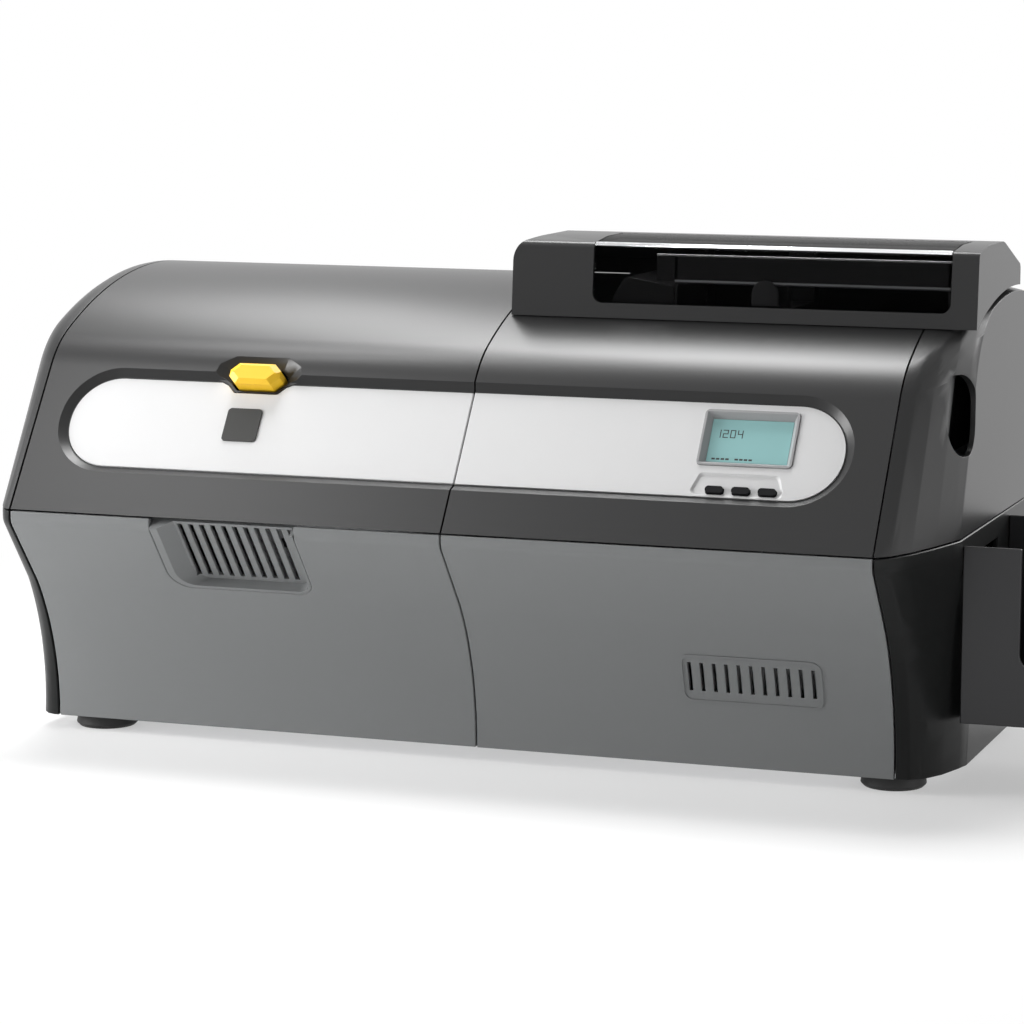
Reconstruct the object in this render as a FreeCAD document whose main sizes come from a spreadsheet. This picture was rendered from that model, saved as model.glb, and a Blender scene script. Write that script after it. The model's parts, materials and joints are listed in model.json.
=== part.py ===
"""Desktop card printer: casing, opening covers, card path, ribbon spools, feeder and hopper.

Frame: millimetres, +X along the printer towards the output hopper, +Y to the rear, +Z up,
origin on the table under the middle of the whole printer.
"""
import FreeCAD, Part
import math
import os
import Sketcher

V = FreeCAD.Vector

# Driving sizes, in millimetres, degrees or counts.
SIZES = {
    # Casing, seen from the front: cap, left cover, right cover, cap, hopper.
    "casing_depth": 277.0,
    "left_cap_length": 17.0,
    "left_front_length": 273.0,
    "right_front_length": 251.5,
    "right_cap_length": 30.5,
    "hopper_reach": 127.0,
    "base_height": 9.0,
    "belt_height": 144.5,
    "wall": 3.0,
    "seam_gap": 1.0,
    "tab_length": 30.0,
    "tab_drop": 14.0,
    "cut_overrun": 2.0,
    # Side profile of the upper covers.
    "face_tilt": 35.3,
    "crest_radius": 294.0,
    "crest_height": 277.0,
    "crest_behind": 75.0,
    "shoulder_radius": 60.0,
    "rear_radius": 22.0,
    "rear_edge_height": 200.0,
    # Side profile of the lower front panels.
    "lip_drop": 7.5,
    "lip_radius": 8.0,
    "knee_setback": 32.5,
    "knee_height": 98.0,
    "ogee_radius": 150.0,
    "base_setback": 60.1,
    # End caps: how far the front and the top draw in at the end face.
    "right_cap_belt_inset": 82.0,
    "right_cap_base_inset": 50.0,
    "right_cap_top_drop": 3.0,
    "left_cap_belt_inset": 26.0,
    "left_cap_base_inset": 16.0,
    "left_cap_top_drop": 8.0,
    "cap_rear_inset": 10.0,
    "cap_shoulder_share": 0.75,
    # Opening in the right end.
    "grip_depth": 9.0,
    "grip_front": -60.0,
    "grip_width": 36.0,
    "grip_low": 190.0,
    "grip_high": 236.0,
    # Feet.
    "foot_radius": 19.0,
    "foot_taper": 2.0,
    "foot_end_inset": 37.0,
    "foot_front_behind": 26.0,
    "foot_rear_inset": 38.0,
    # Silver strip and the recess round it, measured up the tilted face.
    "strip_rise": 34.1,
    "strip_width": 59.5,
    "strip_left_reach": 251.6,
    "strip_right_reach": 225.1,
    "strip_corner": 29.0,
    "strip_thickness": 2.0,
    "strip_sink": 3.0,
    "ditch_margin": 5.5,
    "ditch_foot": 0.8,
    "ditch_below_strip": 0.6,
    "tray_floor": 2.5,
    # Display.
    "display_left": 140.8,
    "display_width": 55.4,
    "display_low": 19.8,
    "display_height": 35.5,
    "bezel_corner": 3.0,
    "bezel_lift": 0.9,
    "bezel_seat": 1.2,
    "bezel_lip": 1.3,
    "bezel_rim": 4.0,
    "glass_sink": 4.2,
    "glass_thickness": 1.6,
    "module_depth": 6.4,
    "board_thickness": 1.6,
    "board_margin": 6.0,
    # Soft keys.
    "key_first": 154.2,
    "key_pitch": 15.3,
    "key_rise": 4.4,
    "key_length": 10.4,
    "key_height": 4.2,
    "key_corner": 1.9,
    "key_lift": 1.2,
    "key_play": 0.3,
    "key_flange": 0.9,
    "key_flange_rim": 1.2,
    "key_travel": 0.8,
    "pad_left": 138.8,
    "pad_right": 195.5,
    "pad_low": 0.8,
    "pad_high": 15.5,
    "pad_lean": 5.0,
    "pad_slope": 1.6,
    "pad_corner": 3.0,
    "pad_depth": 1.0,
    # Badge plate.
    "badge_left": 150.8,
    "badge_low": 20.3,
    "badge_side": 22.0,
    "badge_corner": 2.5,
    "badge_thickness": 0.8,
    # Latch.
    "latch_centre": 136.5,
    "latch_low": 55.4,
    "latch_length": 32.4,
    "latch_height": 13.8,
    "latch_proud": 6.5,
    "latch_body": 9.0,
    "latch_edge": 2.5,
    "latch_chamfer": 4.8,
    "latch_pocket_length": 57.0,
    "latch_pocket_top_length": 36.0,
    "latch_pocket_above": 9.0,
    "latch_pocket_waist": 7.2,
    "latch_pocket_shoulder": 7.0,
    "latch_pocket_slope": 6.0,
    "latch_pocket_depth": 15.0,
    "latch_pocket_wall": 1.2,
    "latch_play": 1.0,
    "latch_stem_radius": 3.0,
    "latch_stem_length": 22.0,
    # Left air grille.
    "grille_left": 182.0,
    "grille_right": 90.5,
    "grille_low": 0.7,
    "grille_top": 52.3,
    "grille_left_corner": 14.0,
    "grille_right_corner": 10.0,
    "grille_depth": 9.0,
    "grille_floor": 2.0,
    "grille_rim": 2.0,
    "grille_scoop": 11.0,
    "grille_slot_width": 3.2,
    "grille_slot_pitch": 7.0,
    "grille_slot_count": 11,
    "grille_slot_first": 166.8,
    "grille_slot_low": 6.0,
    "grille_slot_high": 50.3,
    # Right air slots.
    "slot_first": 133.4,
    "slot_pitch": 7.3,
    "slot_count": 11,
    "slot_width": 2.3,
    "slot_low": 53.5,
    "slot_high": 71.0,
    "slot_ring_left": 128.0,
    "slot_ring_right": 211.5,
    "slot_ring_low": 46.7,
    "slot_ring_high": 76.0,
    "slot_ring_corner": 6.0,
    "slot_ring_width": 1.4,
    "slot_ring_height": 0.6,
    # Feeder lid.
    "lid_offset": 2.5,
    "lid_front": 25.5,
    "lid_front_top": 21.5,
    "lid_rise": 29.0,
    "lid_front_drop": 2.5,
    "lid_flat_front": 5.0,
    "lid_flat_rear": 45.0,
    "lid_rear": 95.0,
    "lid_rear_rise": 12.0,
    "lid_corner": 4.0,
    "lid_crown": 30.0,
    "lid_left_corner": 14.0,
    "lid_wall": 2.5,
    "lid_gap": 0.6,
    "window_left": 50.0,
    "window_right": 15.5,
    "window_drop": 8.4,
    "window_back": 31.0,
    "window_corner": 6.0,
    "window_gap": 0.2,
    # Hinges.
    "hinge_behind": 101.0,
    "hinge_split": 5.5,
    "gutter_drop": 10.0,
    "cover_hinge_drop": 7.0,
    "lid_hinge_gap": 0.5,
    "knuckle_radius": 4.5,
    "knuckle_length": 20.0,
    "knuckle_gap": 0.4,
    "knuckle_web": 3.0,
    "hinge_pin_radius": 1.5,
    "pin_clearance": 0.05,
    "hinge_inset": 34.0,
    # Sheet metal frame.
    "frame_front": 36.0,
    "frame_rear": 64.5,
    "plate_thickness": 1.5,
    "frame_left_inset": 9.5,
    "frame_right_inset": 22.0,
    "frame_low_top": 140.0,
    "frame_head_top": 130.0,
    "frame_post_top": 200.0,
    "frame_post_half": 14.0,
    "frame_feed_top": 214.0,
    "fit_gap": 0.3,
    # Card path.
    "path_height": 125.0,
    "path_middle": 15.0,
    "card_width": 54.0,
    "roller_radius": 8.0,
    "roller_pitch": 80.0,
    "platen_place": 200.0,
    "shaft_radius": 3.0,
    "shaft_overhang": 3.0,
    "pulley_radius": 9.0,
    "pulley_width": 5.5,
    "belt_thickness": 1.5,
    "belt_gap": 0.3,
    "guide_thickness": 1.5,
    "guide_drop": 2.0,
    # Drive.
    "gear_width": 5.0,
    "gear_radius": 18.0,
    "pinion_radius": 6.0,
    "tooth_height": 1.6,
    "gear_teeth": 45,
    "pinion_teeth": 15,
    "motor_radius": 20.0,
    "motor_length": 28.0,
    "motor_shaft_radius": 2.0,
    # Print station.
    "head_width": 28.0,
    "head_height": 12.0,
    "head_gap": 1.3,
    "heat_base": 4.0,
    "heat_height": 22.0,
    "fin_width": 2.0,
    "fin_pitch": 4.5,
    "fin_count": 6,
    "bracket_plate": 2.5,
    "head_front_margin": 3.0,
    # Ribbon spools.
    "spool_height": 190.0,
    "spool_spread": 50.0,
    "spool_flange": 22.0,
    "spool_flange_width": 2.0,
    "spool_shaft": 4.0,
    "ribbon_full": 19.0,
    "ribbon_used": 15.0,
    # Flipper.
    "flipper_place": 51.5,
    "flipper_radius": 44.0,
    "flipper_disc": 2.5,
    "flipper_slot": 3.0,
    "flipper_bar": 9.0,
    # Feeder.
    "bin_left": 103.0,
    "bin_length": 160.0,
    "bin_floor": 188.0,
    "bin_wall": 2.5,
    "bin_drop": 21.0,
    "bin_side_gap": 2.0,
    "bin_flange": 2.0,
    "pick_radius": 14.0,
    "pick_reach": 2.0,
    "pick_height": 206.0,
    "pick_window": 12.0,
    "pick_cover_drop": 22.0,
    "pick_cover_length": 38.0,
    "chute_radius": 60.0,
    "chute_wall": 3.0,
    "chute_gap": 1.3,
    "chute_sweep": 62.0,
    "rail_radius": 3.0,
    "rail_behind": 53.0,
    "rail_drop": 14.0,
    "pusher_place": 49.0,
    "pusher_plate": 5.0,
    "pusher_length": 16.0,
    "pusher_tab_drop": 23.4,
    "pusher_arm_rise": 6.0,
    "pusher_arm_thickness": 5.0,
    # Output hopper and card slot.
    "hopper_front": 50.0,
    "hopper_rear": 80.0,
    "hopper_low": 38.0,
    "hopper_high": 140.0,
    "hopper_foot": 27.0,
    "hopper_wall": 2.5,
    "hopper_grip": 60.0,
    "hopper_grip_depth": 70.0,
    "slot_clearance": 6.0,
    # Reject bin.
    "reject_length": 86.0,
    "reject_front": 18.0,
    "reject_rear": 48.0,
    "reject_low": 28.0,
    "reject_high": 76.0,
    "reject_wall": 2.0,
    "reject_gap": 0.5,
    # Rear panel, power and electronics.
    "vent_count": 12,
    "vent_pitch": 8.0,
    "vent_width": 3.5,
    "vent_low": 120.0,
    "vent_high": 170.0,
    "vent_first": 250.0,
    "inlet_place": 200.0,
    "inlet_width": 27.5,
    "inlet_height": 20.0,
    "inlet_depth": 22.0,
    "inlet_flange": 3.0,
    "socket_height_level": 45.0,
    "switch_place": 165.0,
    "switch_width": 14.0,
    "switch_height": 21.0,
    "switch_depth": 16.0,
    "switch_face": 4.4,
    "switch_collar": 1.6,
    "switch_tilt": 8.0,
    "switch_pivot": 1.5,
    "fan_place": 60.0,
    "fan_level": 110.0,
    "fan_side": 60.0,
    "fan_depth": 15.0,
    "fan_bore": 28.0,
    "fan_hub": 12.0,
    "fan_blades": 7,
    "fan_blade": 2.0,
    "fan_tip_gap": 1.0,
    "main_board_left": 200.0,
    "main_board_length": 180.0,
    "main_board_low": 26.0,
    "main_board_height": 80.0,
    "board_standoff": 22.0,
    "port_width": 13.0,
    "port_height": 12.0,
    "port_pitch": 26.0,
    "supply_length": 120.0,
    "supply_height": 62.0,
    "supply_depth": 38.0,
    "screw_radius": 1.5,
    "screw_length": 8.0,
    "screw_inset": 9.0,
    "floor_thickness": 3.0,
}

# Shares of an end cap's length where its sections stand, and how they draw in.
STATION_SHARES = (0.0, 0.25, 0.5, 0.75, 0.92, 1.0)
BELT_POWER = 1.7
BASE_POWER = 3.0
TOP_POWER = 3.0
HALF = 0.5

doc = FreeCAD.newDocument("card_printer")
sheet = doc.addObject("Spreadsheet::Sheet", "Sizes")
for row, (alias, number) in enumerate(SIZES.items(), start=1):
    sheet.set("A%d" % row, alias)
    sheet.set("B%d" % row, str(number))
    sheet.setAlias("B%d" % row, alias)
doc.recompute()


class Size:
    """A number that carries the spreadsheet expression it comes from."""

    def __init__(self, value, text):
        self.value = value
        self.text = text

    def __add__(self, other):
        other = as_size(other)
        return Size(self.value + other.value, "(%s + %s)" % (self.text, other.text))

    def __sub__(self, other):
        other = as_size(other)
        return Size(self.value - other.value, "(%s - %s)" % (self.text, other.text))

    def __mul__(self, other):
        other = as_size(other)
        return Size(self.value * other.value, "(%s * %s)" % (self.text, other.text))

    def __truediv__(self, other):
        other = as_size(other)
        return Size(self.value / other.value, "(%s / %s)" % (self.text, other.text))

    def __neg__(self):
        return Size(-self.value, "(0 - %s)" % self.text)

    def __rmul__(self, other):
        return as_size(other) * self


def as_size(number):
    """A plain number as a Size, and a Size as it is."""
    if isinstance(number, Size):
        return number
    return Size(float(number), repr(float(number)))


class Cells:
    """Reads the spreadsheet's cells by alias."""

    def __getattr__(self, alias):
        return Size(float(SIZES[alias]), "Sizes." + alias)


def sine(angle):
    return Size(math.sin(math.radians(angle.value)), "sin(%s * 1 deg)" % angle.text)


def cosine(angle):
    return Size(math.cos(math.radians(angle.value)), "cos(%s * 1 deg)" % angle.text)


def root(number):
    return Size(math.sqrt(number.value), "sqrt(%s)" % number.text)


S = Cells()

# Places along the printer.
LENGTH = (S.left_cap_length + S.left_front_length + S.right_front_length
          + S.right_cap_length + S.hopper_reach)
LEFT_END = -LENGTH * HALF
LEFT_SEAM = LEFT_END + S.left_cap_length
MIDDLE = LEFT_SEAM + S.left_front_length
RIGHT_SEAM = MIDDLE + S.right_front_length
RIGHT_END = RIGHT_SEAM + S.right_cap_length
HALF_GAP = S.seam_gap * HALF

# Places across the printer and up it.
FRONT = -S.casing_depth * HALF
REAR = S.casing_depth * HALF
BELT_TOP = S.belt_height + HALF_GAP
BELT_UNDER = S.belt_height - HALF_GAP
FLOOR_TOP = S.base_height + S.floor_thickness
HINGE_Y = S.hinge_behind
FRAME_FRONT_IN = S.plate_thickness - S.frame_front
FRAME_REAR_OUT = S.frame_rear + S.plate_thickness
CARD_FRONT = S.path_middle - S.card_width * HALF
CARD_REAR = S.path_middle + S.card_width * HALF
ROLLER_HEIGHT = S.path_height - S.roller_radius
LID_TOP = S.crest_height + S.lid_rise
LID_FRONT_TOP = LID_TOP - S.lid_front_drop
LID_REAR_TOP = S.crest_height + S.lid_rear_rise
LID_HINGE_Z = S.crest_height + S.knuckle_radius + S.lid_hinge_gap
COVER_HINGE_Z = S.crest_height - S.cover_hinge_drop
GUTTER_FLOOR = COVER_HINGE_Z - S.gutter_drop
WINDOW_LOW = S.crest_height - S.window_drop
BIN_TOP = S.crest_height - S.bin_drop
PICK_COVER_TOP = LID_TOP - S.pick_cover_drop
RAIL_Z = LID_TOP - S.rail_drop
PUSHER_TOP = LID_TOP - S.pusher_tab_drop
PUSHER_ARM = BIN_TOP + S.pusher_arm_rise
PLATEN_X = -S.platen_place


class Slant:
    """A tilted drawing plane: X stays along the printer, its Y runs up the face."""

    def __init__(self, x, y, z, angle):
        self.x = as_size(x)
        self.y = y
        self.z = z
        self.angle = angle

    def point(self, along, up, out):
        """The printer's Y and Z of a point given on the plane."""
        y = self.y + up * cosine(self.angle) - out * sine(self.angle)
        z = self.z + up * sine(self.angle) + out * cosine(self.angle)
        return self.x + along, y, z


RIGHT_ANGLE = 90.0
# The silver strip's lower edge at the middle seam.
FACE = Slant(MIDDLE, FRONT + S.strip_rise * sine(S.face_tilt),
             S.belt_height + S.strip_rise * cosine(S.face_tilt),
             as_size(RIGHT_ANGLE) - S.face_tilt)


# Drawing helpers.

def new_body(label):
    body = doc.addObject("PartDesign::Body", label)
    body.Label = label
    return body


def origin_item(body, role):
    return [item for item in body.Origin.OriginFeatures if item.Role == role][0]


def new_sketch(body, view, at):
    """A sketch on an origin plane (XY, XZ or YZ) or on a Slant, moved to the place at."""
    sketch = body.newObject("Sketcher::SketchObject", body.Label + "_outline")
    sketch.MapMode = "FlatFace"
    at = as_size(at)
    if isinstance(view, Slant):
        sketch.AttachmentSupport = (origin_item(body, "XY_Plane"), "")
        turn = FreeCAD.Rotation(V(1, 0, 0), view.angle.value)
        sketch.AttachmentOffset = FreeCAD.Placement(V(0, 0, 0), turn)
        sketch.setExpression("AttachmentOffset.Rotation.Angle", view.angle.text)
        x, y, z = view.point(0, as_size(0), at)
        sketch.setExpression("AttachmentOffset.Base.x", x.text)
        sketch.setExpression("AttachmentOffset.Base.y", y.text)
        sketch.setExpression("AttachmentOffset.Base.z", z.text)
        return sketch
    sketch.AttachmentSupport = (origin_item(body, view + "_Plane"), "")
    shift = -at if view == "XZ" else at
    sketch.setExpression("AttachmentOffset.Base.z", shift.text)
    return sketch


def hold(sketch, kind, geometry, position, size):
    """Ties one coordinate of a sketch point to its size."""
    size = as_size(size)
    if abs(size.value) < 1e-9:
        axis = -2 if kind == "DistanceX" else -1
        sketch.addConstraint(Sketcher.Constraint("PointOnObject", geometry, position, axis))
        return
    index = sketch.addConstraint(
        Sketcher.Constraint(kind, -1, 1, geometry, position, size.value))
    sketch.setExpression("Constraints[%d]" % index, size.text)


def hold_radius(sketch, geometry, radius):
    index = sketch.addConstraint(Sketcher.Constraint("Radius", geometry, radius.value))
    sketch.setExpression("Constraints[%d]" % index, radius.text)


class Bow:
    """Marks the next edge of an outline as an arc; side is 1 where it bulges to the left."""

    def __init__(self, radius, side):
        self.radius = radius
        self.side = side


def arc_centre(start, end, radius, side):
    """Centre of the arc from start to end that bulges to its left (side 1) or right."""
    chord = end - start
    rise = math.sqrt(max(radius * radius - chord.Length ** 2 * HALF * HALF, 0.0))
    left = V(-chord.y, chord.x, 0)
    left.normalize()
    return (start + end) * HALF - left * (rise * side)


def arc(start, end, centre, radius, side):
    """The arc from start to end, and which of its ends those two are."""
    first = math.atan2(start.y - centre.y, start.x - centre.x)
    last = math.atan2(end.y - centre.y, end.x - centre.x)
    whole = Part.Circle(centre, V(0, 0, 1), radius)
    if side > 0:
        return Part.ArcOfCircle(whole, last, first), 2, 1
    return Part.ArcOfCircle(whole, first, last), 1, 2


def straight_round(corner, back, ahead, radius):
    """Where a round touches two straight edges, and its centre."""
    along, onward = (back - corner).normalize(), (ahead - corner).normalize()
    half_angle = along.getAngle(onward) * HALF
    reach = radius / math.tan(half_angle)
    centre = corner + (along + onward).normalize() * (radius / math.sin(half_angle))
    return corner + along * reach, corner + onward * reach, centre


def arc_round(corner, far, arc_far, centre, big, radius):
    """Where a round touches the straight edge corner-far and an arc edge, and its centre."""
    along = (far - corner).normalize()
    found = None
    for side in (1, -1):
        shift = V(-along.y, along.x, 0) * (radius * side)
        for reach in (big - radius, big + radius):
            away = corner + shift - centre
            half = away.dot(along)
            rest = half * half - away.dot(away) + reach * reach
            if rest < 0:
                continue
            for sign in (1, -1):
                run = sign * math.sqrt(rest) - half
                middle = corner + shift + along * run
                on_arc = centre + (middle - centre).normalize() * big
                fits = run > 0 and (on_arc - corner).dot(arc_far - corner) > 0
                if fits and (found is None or run < found[0]):
                    found = (run, corner + along * run, on_arc, middle)
    return found[1:]


def outline(sketch, corners):
    """Draws a closed outline.

    A corner is (x, y) or (x, y, radius), the radius rounding the corner. A Bow between
    two corners makes that edge an arc.
    """
    points, radii, bows = [], [], []
    for item in corners:
        if isinstance(item, Bow):
            bows[-1] = item
            continue
        points.append((as_size(item[0]), as_size(item[1])))
        radii.append(item[2] if len(item) > 2 else None)
        bows.append(None)
    count = len(points)
    flat = [V(x.value, y.value, 0) for x, y in points]
    after = [(i + 1) % count for i in range(count)]
    centres = [bows[i] and arc_centre(flat[i], flat[after[i]], bows[i].radius.value,
                                      bows[i].side) for i in range(count)]
    leaves, arrives, middles = list(flat), list(flat), list(flat)
    for i in range(count):
        if radii[i] is None:
            continue
        back, ahead, radius = flat[i - 1], flat[after[i]], radii[i].value
        if bows[i - 1]:
            leaves[i], arrives[i], middles[i] = arc_round(
                flat[i], ahead, back, centres[i - 1], bows[i - 1].radius.value, radius)
        elif bows[i]:
            arrives[i], leaves[i], middles[i] = arc_round(
                flat[i], back, ahead, centres[i], bows[i].radius.value, radius)
        else:
            arrives[i], leaves[i], middles[i] = straight_round(flat[i], back, ahead, radius)
    edges = []
    for i in range(count):
        if bows[i]:
            edge, first, last = arc(leaves[i], arrives[after[i]], centres[i],
                                    bows[i].radius.value, bows[i].side)
        else:
            edge, first, last = Part.LineSegment(leaves[i], arrives[after[i]]), 1, 2
        edges.append((sketch.addGeometry(edge, False), first, last))
    for i in range(count):
        before, here = edges[i - 1], edges[i]
        if radii[i] is None:
            sketch.addConstraint(
                Sketcher.Constraint("Coincident", before[0], before[2], here[0], here[1]))
            hold(sketch, "DistanceX", here[0], here[1], points[i][0])
            hold(sketch, "DistanceY", here[0], here[1], points[i][1])
            continue
        turn = (leaves[i] - arrives[i]).cross(middles[i] - arrives[i]).z
        rounding, first, last = arc(arrives[i], leaves[i], middles[i], radii[i].value,
                                    1 if turn < 0 else -1)
        index = sketch.addGeometry(rounding, False)
        corner = sketch.addGeometry(Part.Point(flat[i]), True)
        sketch.addConstraint([
            Sketcher.Constraint("PointOnObject", corner, 1, before[0]),
            Sketcher.Constraint("PointOnObject", corner, 1, here[0]),
            Sketcher.Constraint("Tangent", before[0], before[2], index, first),
            Sketcher.Constraint("Tangent", index, last, here[0], here[1])])
        hold(sketch, "DistanceX", corner, 1, points[i][0])
        hold(sketch, "DistanceY", corner, 1, points[i][1])
        hold_radius(sketch, index, radii[i])
    for edge, bow in zip(edges, bows):
        if bow:
            hold_radius(sketch, edge[0], bow.radius)


def circle(sketch, x, y, radius):
    x, y = as_size(x), as_size(y)
    ring = Part.Circle(V(x.value, y.value, 0), V(0, 0, 1), radius.value)
    index = sketch.addGeometry(ring, False)
    hold(sketch, "DistanceX", index, 3, x)
    hold(sketch, "DistanceY", index, 3, y)
    hold_radius(sketch, index, radius)


def oblong(x0, x1, y0, y1, radius=None):
    """The corners of a rectangle, rounded where a radius is given."""
    places = [(x0, y0), (x1, y0), (x1, y1), (x0, y1)]
    return places if radius is None else [place + (radius,) for place in places]


def draw(sketch, shape):
    """Draws one closed shape: an outline's corners, or ("circle", x, y, radius)."""
    if shape[0] == "circle":
        circle(sketch, *shape[1:])
    else:
        outline(sketch, shape)


def add(body, view, low, high, *shapes):
    """Pads the shapes from low to high along the view's own direction."""
    low, high = as_size(low), as_size(high)
    sketch = new_sketch(body, view, high if view == "XZ" else low)
    for shape in shapes:
        draw(sketch, shape)
    pad = body.newObject("PartDesign::Pad", body.Label + "_pad")
    pad.Profile = sketch
    pad.Length = high.value - low.value
    pad.setExpression("Length", (high - low).text)
    sketch.Visibility = False
    body.Tip = pad
    return pad


def cut(body, view, low, high, *shapes):
    """Pockets the shapes from low to high along the view's own direction."""
    low, high = as_size(low), as_size(high)
    sketch = new_sketch(body, view, low if view == "XZ" else high)
    for shape in shapes:
        draw(sketch, shape)
    pocket = body.newObject("PartDesign::Pocket", body.Label + "_pocket")
    pocket.Profile = sketch
    pocket.Length = high.value - low.value
    pocket.setExpression("Length", (high - low).text)
    sketch.Visibility = False
    body.Tip = pocket
    return pocket


def straight_loft(body, view, kind, sections):
    """A ruled loft through closed outlines, each given as (place, corners)."""
    sketches = []
    for at, corners in sections:
        sketch = new_sketch(body, view, at)
        outline(sketch, corners)
        sketch.Visibility = False
        sketches.append(sketch)
    loft = body.newObject(kind, body.Label + "_loft")
    loft.Profile = sketches[0]
    loft.Sections = sketches[1:]
    loft.Ruled = True
    body.Tip = loft
    return loft


def add_loft(body, view, *sections):
    return straight_loft(body, view, "PartDesign::AdditiveLoft", sections)


def cut_loft(body, view, *sections):
    return straight_loft(body, view, "PartDesign::SubtractiveLoft", sections)


def repeat_along_x(body, feature, pitch, count):
    """Repeats one feature along the printer at a steady pitch."""
    pattern = body.newObject("PartDesign::LinearPattern", body.Label + "_row")
    pattern.Originals = [feature]
    pattern.Direction = (origin_item(body, "X_Axis"), [""])
    pattern.Length = pitch.value * (count.value - 1)
    pattern.setExpression("Length", (pitch * (count - 1)).text)
    pattern.setExpression("Occurrences", count.text)
    body.Tip = pattern
    return pattern


def repeat_round_y(body, feature, count):
    """Repeats one feature round the body's own Y axis."""
    pattern = body.newObject("PartDesign::PolarPattern", body.Label + "_ring")
    pattern.Originals = [feature]
    pattern.Axis = (origin_item(body, "Y_Axis"), [""])
    pattern.Angle = 360
    pattern.setExpression("Occurrences", count.text)
    body.Tip = pattern
    return pattern


def round_edges(body, radius, wanted):
    """Fillets the edges of the body's last feature for which wanted(edge) is true."""
    doc.recompute()
    base = body.Tip
    names = ["Edge%d" % n for n, edge in enumerate(base.Shape.Edges, start=1) if wanted(edge)]
    fillet = body.newObject("PartDesign::Fillet", body.Label + "_round")
    fillet.Base = (base, names)
    fillet.Radius = radius.value
    fillet.setExpression("Radius", radius.text)
    body.Tip = fillet
    return fillet


def place(body, x, z):
    """Puts a part that is drawn round its own axis on its shaft's place."""
    body.setExpression("Placement.Base.x", as_size(x).text)
    body.setExpression("Placement.Base.z", as_size(z).text)


# Side profiles shared by the covers.

CREST_CENTRE = S.crest_height - S.crest_radius


def crest(y, inset):
    """Height of the covers' crown at y, inset below the skin."""
    reach = S.crest_radius - inset
    across = y - S.crest_behind
    return CREST_CENTRE + root(reach * reach - across * across)


def face_point(rise, inset):
    """A point of the tilted face, rise up it from the belt and inset below the skin."""
    y = FRONT + inset / cosine(S.face_tilt) + rise * sine(S.face_tilt)
    return y, S.belt_height + rise * cosine(S.face_tilt)


def shoulder(inset):
    """Where the tilted face meets the crown."""
    y, z = face_point(as_size(0), inset)
    across = y - S.crest_behind
    above = z - CREST_CENTRE
    half = across * sine(S.face_tilt) + above * cosine(S.face_tilt)
    reach = S.crest_radius - inset
    rest = across * across + above * above - reach * reach
    run = root(half * half - rest) - half
    return face_point(run, inset)


def belt_edge(inset):
    """The covers' lower front edge, on the tilted face."""
    return face_point(HALF_GAP / cosine(S.face_tilt), inset)


def lower_front(shift, drop_base=0):
    """The lower panels' front line from the base up to the belt, moved back by shift."""
    base = (FRONT + S.base_setback + shift, S.base_height - drop_base)
    knee = (FRONT + S.knee_setback + shift, S.knee_height)
    lip = (FRONT + shift, S.belt_height - S.lip_drop, S.lip_radius)
    top = (FRONT + shift, BELT_UNDER)
    return base, knee, lip, top


NO_INSET = as_size(0)
PANEL_SHIFT = S.wall * 1.15


def feeder_mouth(body):
    """Opens the top of a cover over the card feeder."""
    cut(body, "XY", BIN_TOP - S.wall * 5, S.crest_height + S.wall, oblong(
        MIDDLE + S.bin_left - S.pick_cover_length - S.wall * 2,
        MIDDLE + S.bin_left + S.bin_length + S.wall * 2,
        CARD_FRONT - S.bin_side_gap * 2 - S.bin_wall, S.rail_behind + S.wall * 3))


TAB_SHARES = (0.15, 0.75)


def rear_tabs(body, left, right):
    """Tabs that screw a cover to the inside of the rear panel."""
    for share in TAB_SHARES:
        x = left + (right - left) * share
        add(body, "XY", S.rear_edge_height - S.tab_drop, S.rear_edge_height + S.wall,
            oblong(x, x + S.tab_length, REAR - S.wall * 2, REAR - S.wall))


def belt_tongues(body, left, right):
    """Tongues that stand behind the lower panel's top edge."""
    for share in TAB_SHARES:
        x = left + (right - left) * share
        add(body, "XY", S.belt_height - S.lip_drop * HALF, S.belt_height + S.wall,
            oblong(x, x + S.tab_length, FRONT + PANEL_SHIFT, FRONT + PANEL_SHIFT + S.wall))


def end_tabs(body, x):
    """Tabs of an upper end cap that stand against the lower cap's end wall."""
    for y in (FRONT + S.right_cap_belt_inset + S.wall * 6, S.rail_behind):
        add(body, "XY", S.belt_height - S.tab_drop, S.belt_height + S.tab_drop,
            oblong(x, x + S.wall, y, y + S.tab_length))


# Lower casing.

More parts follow.
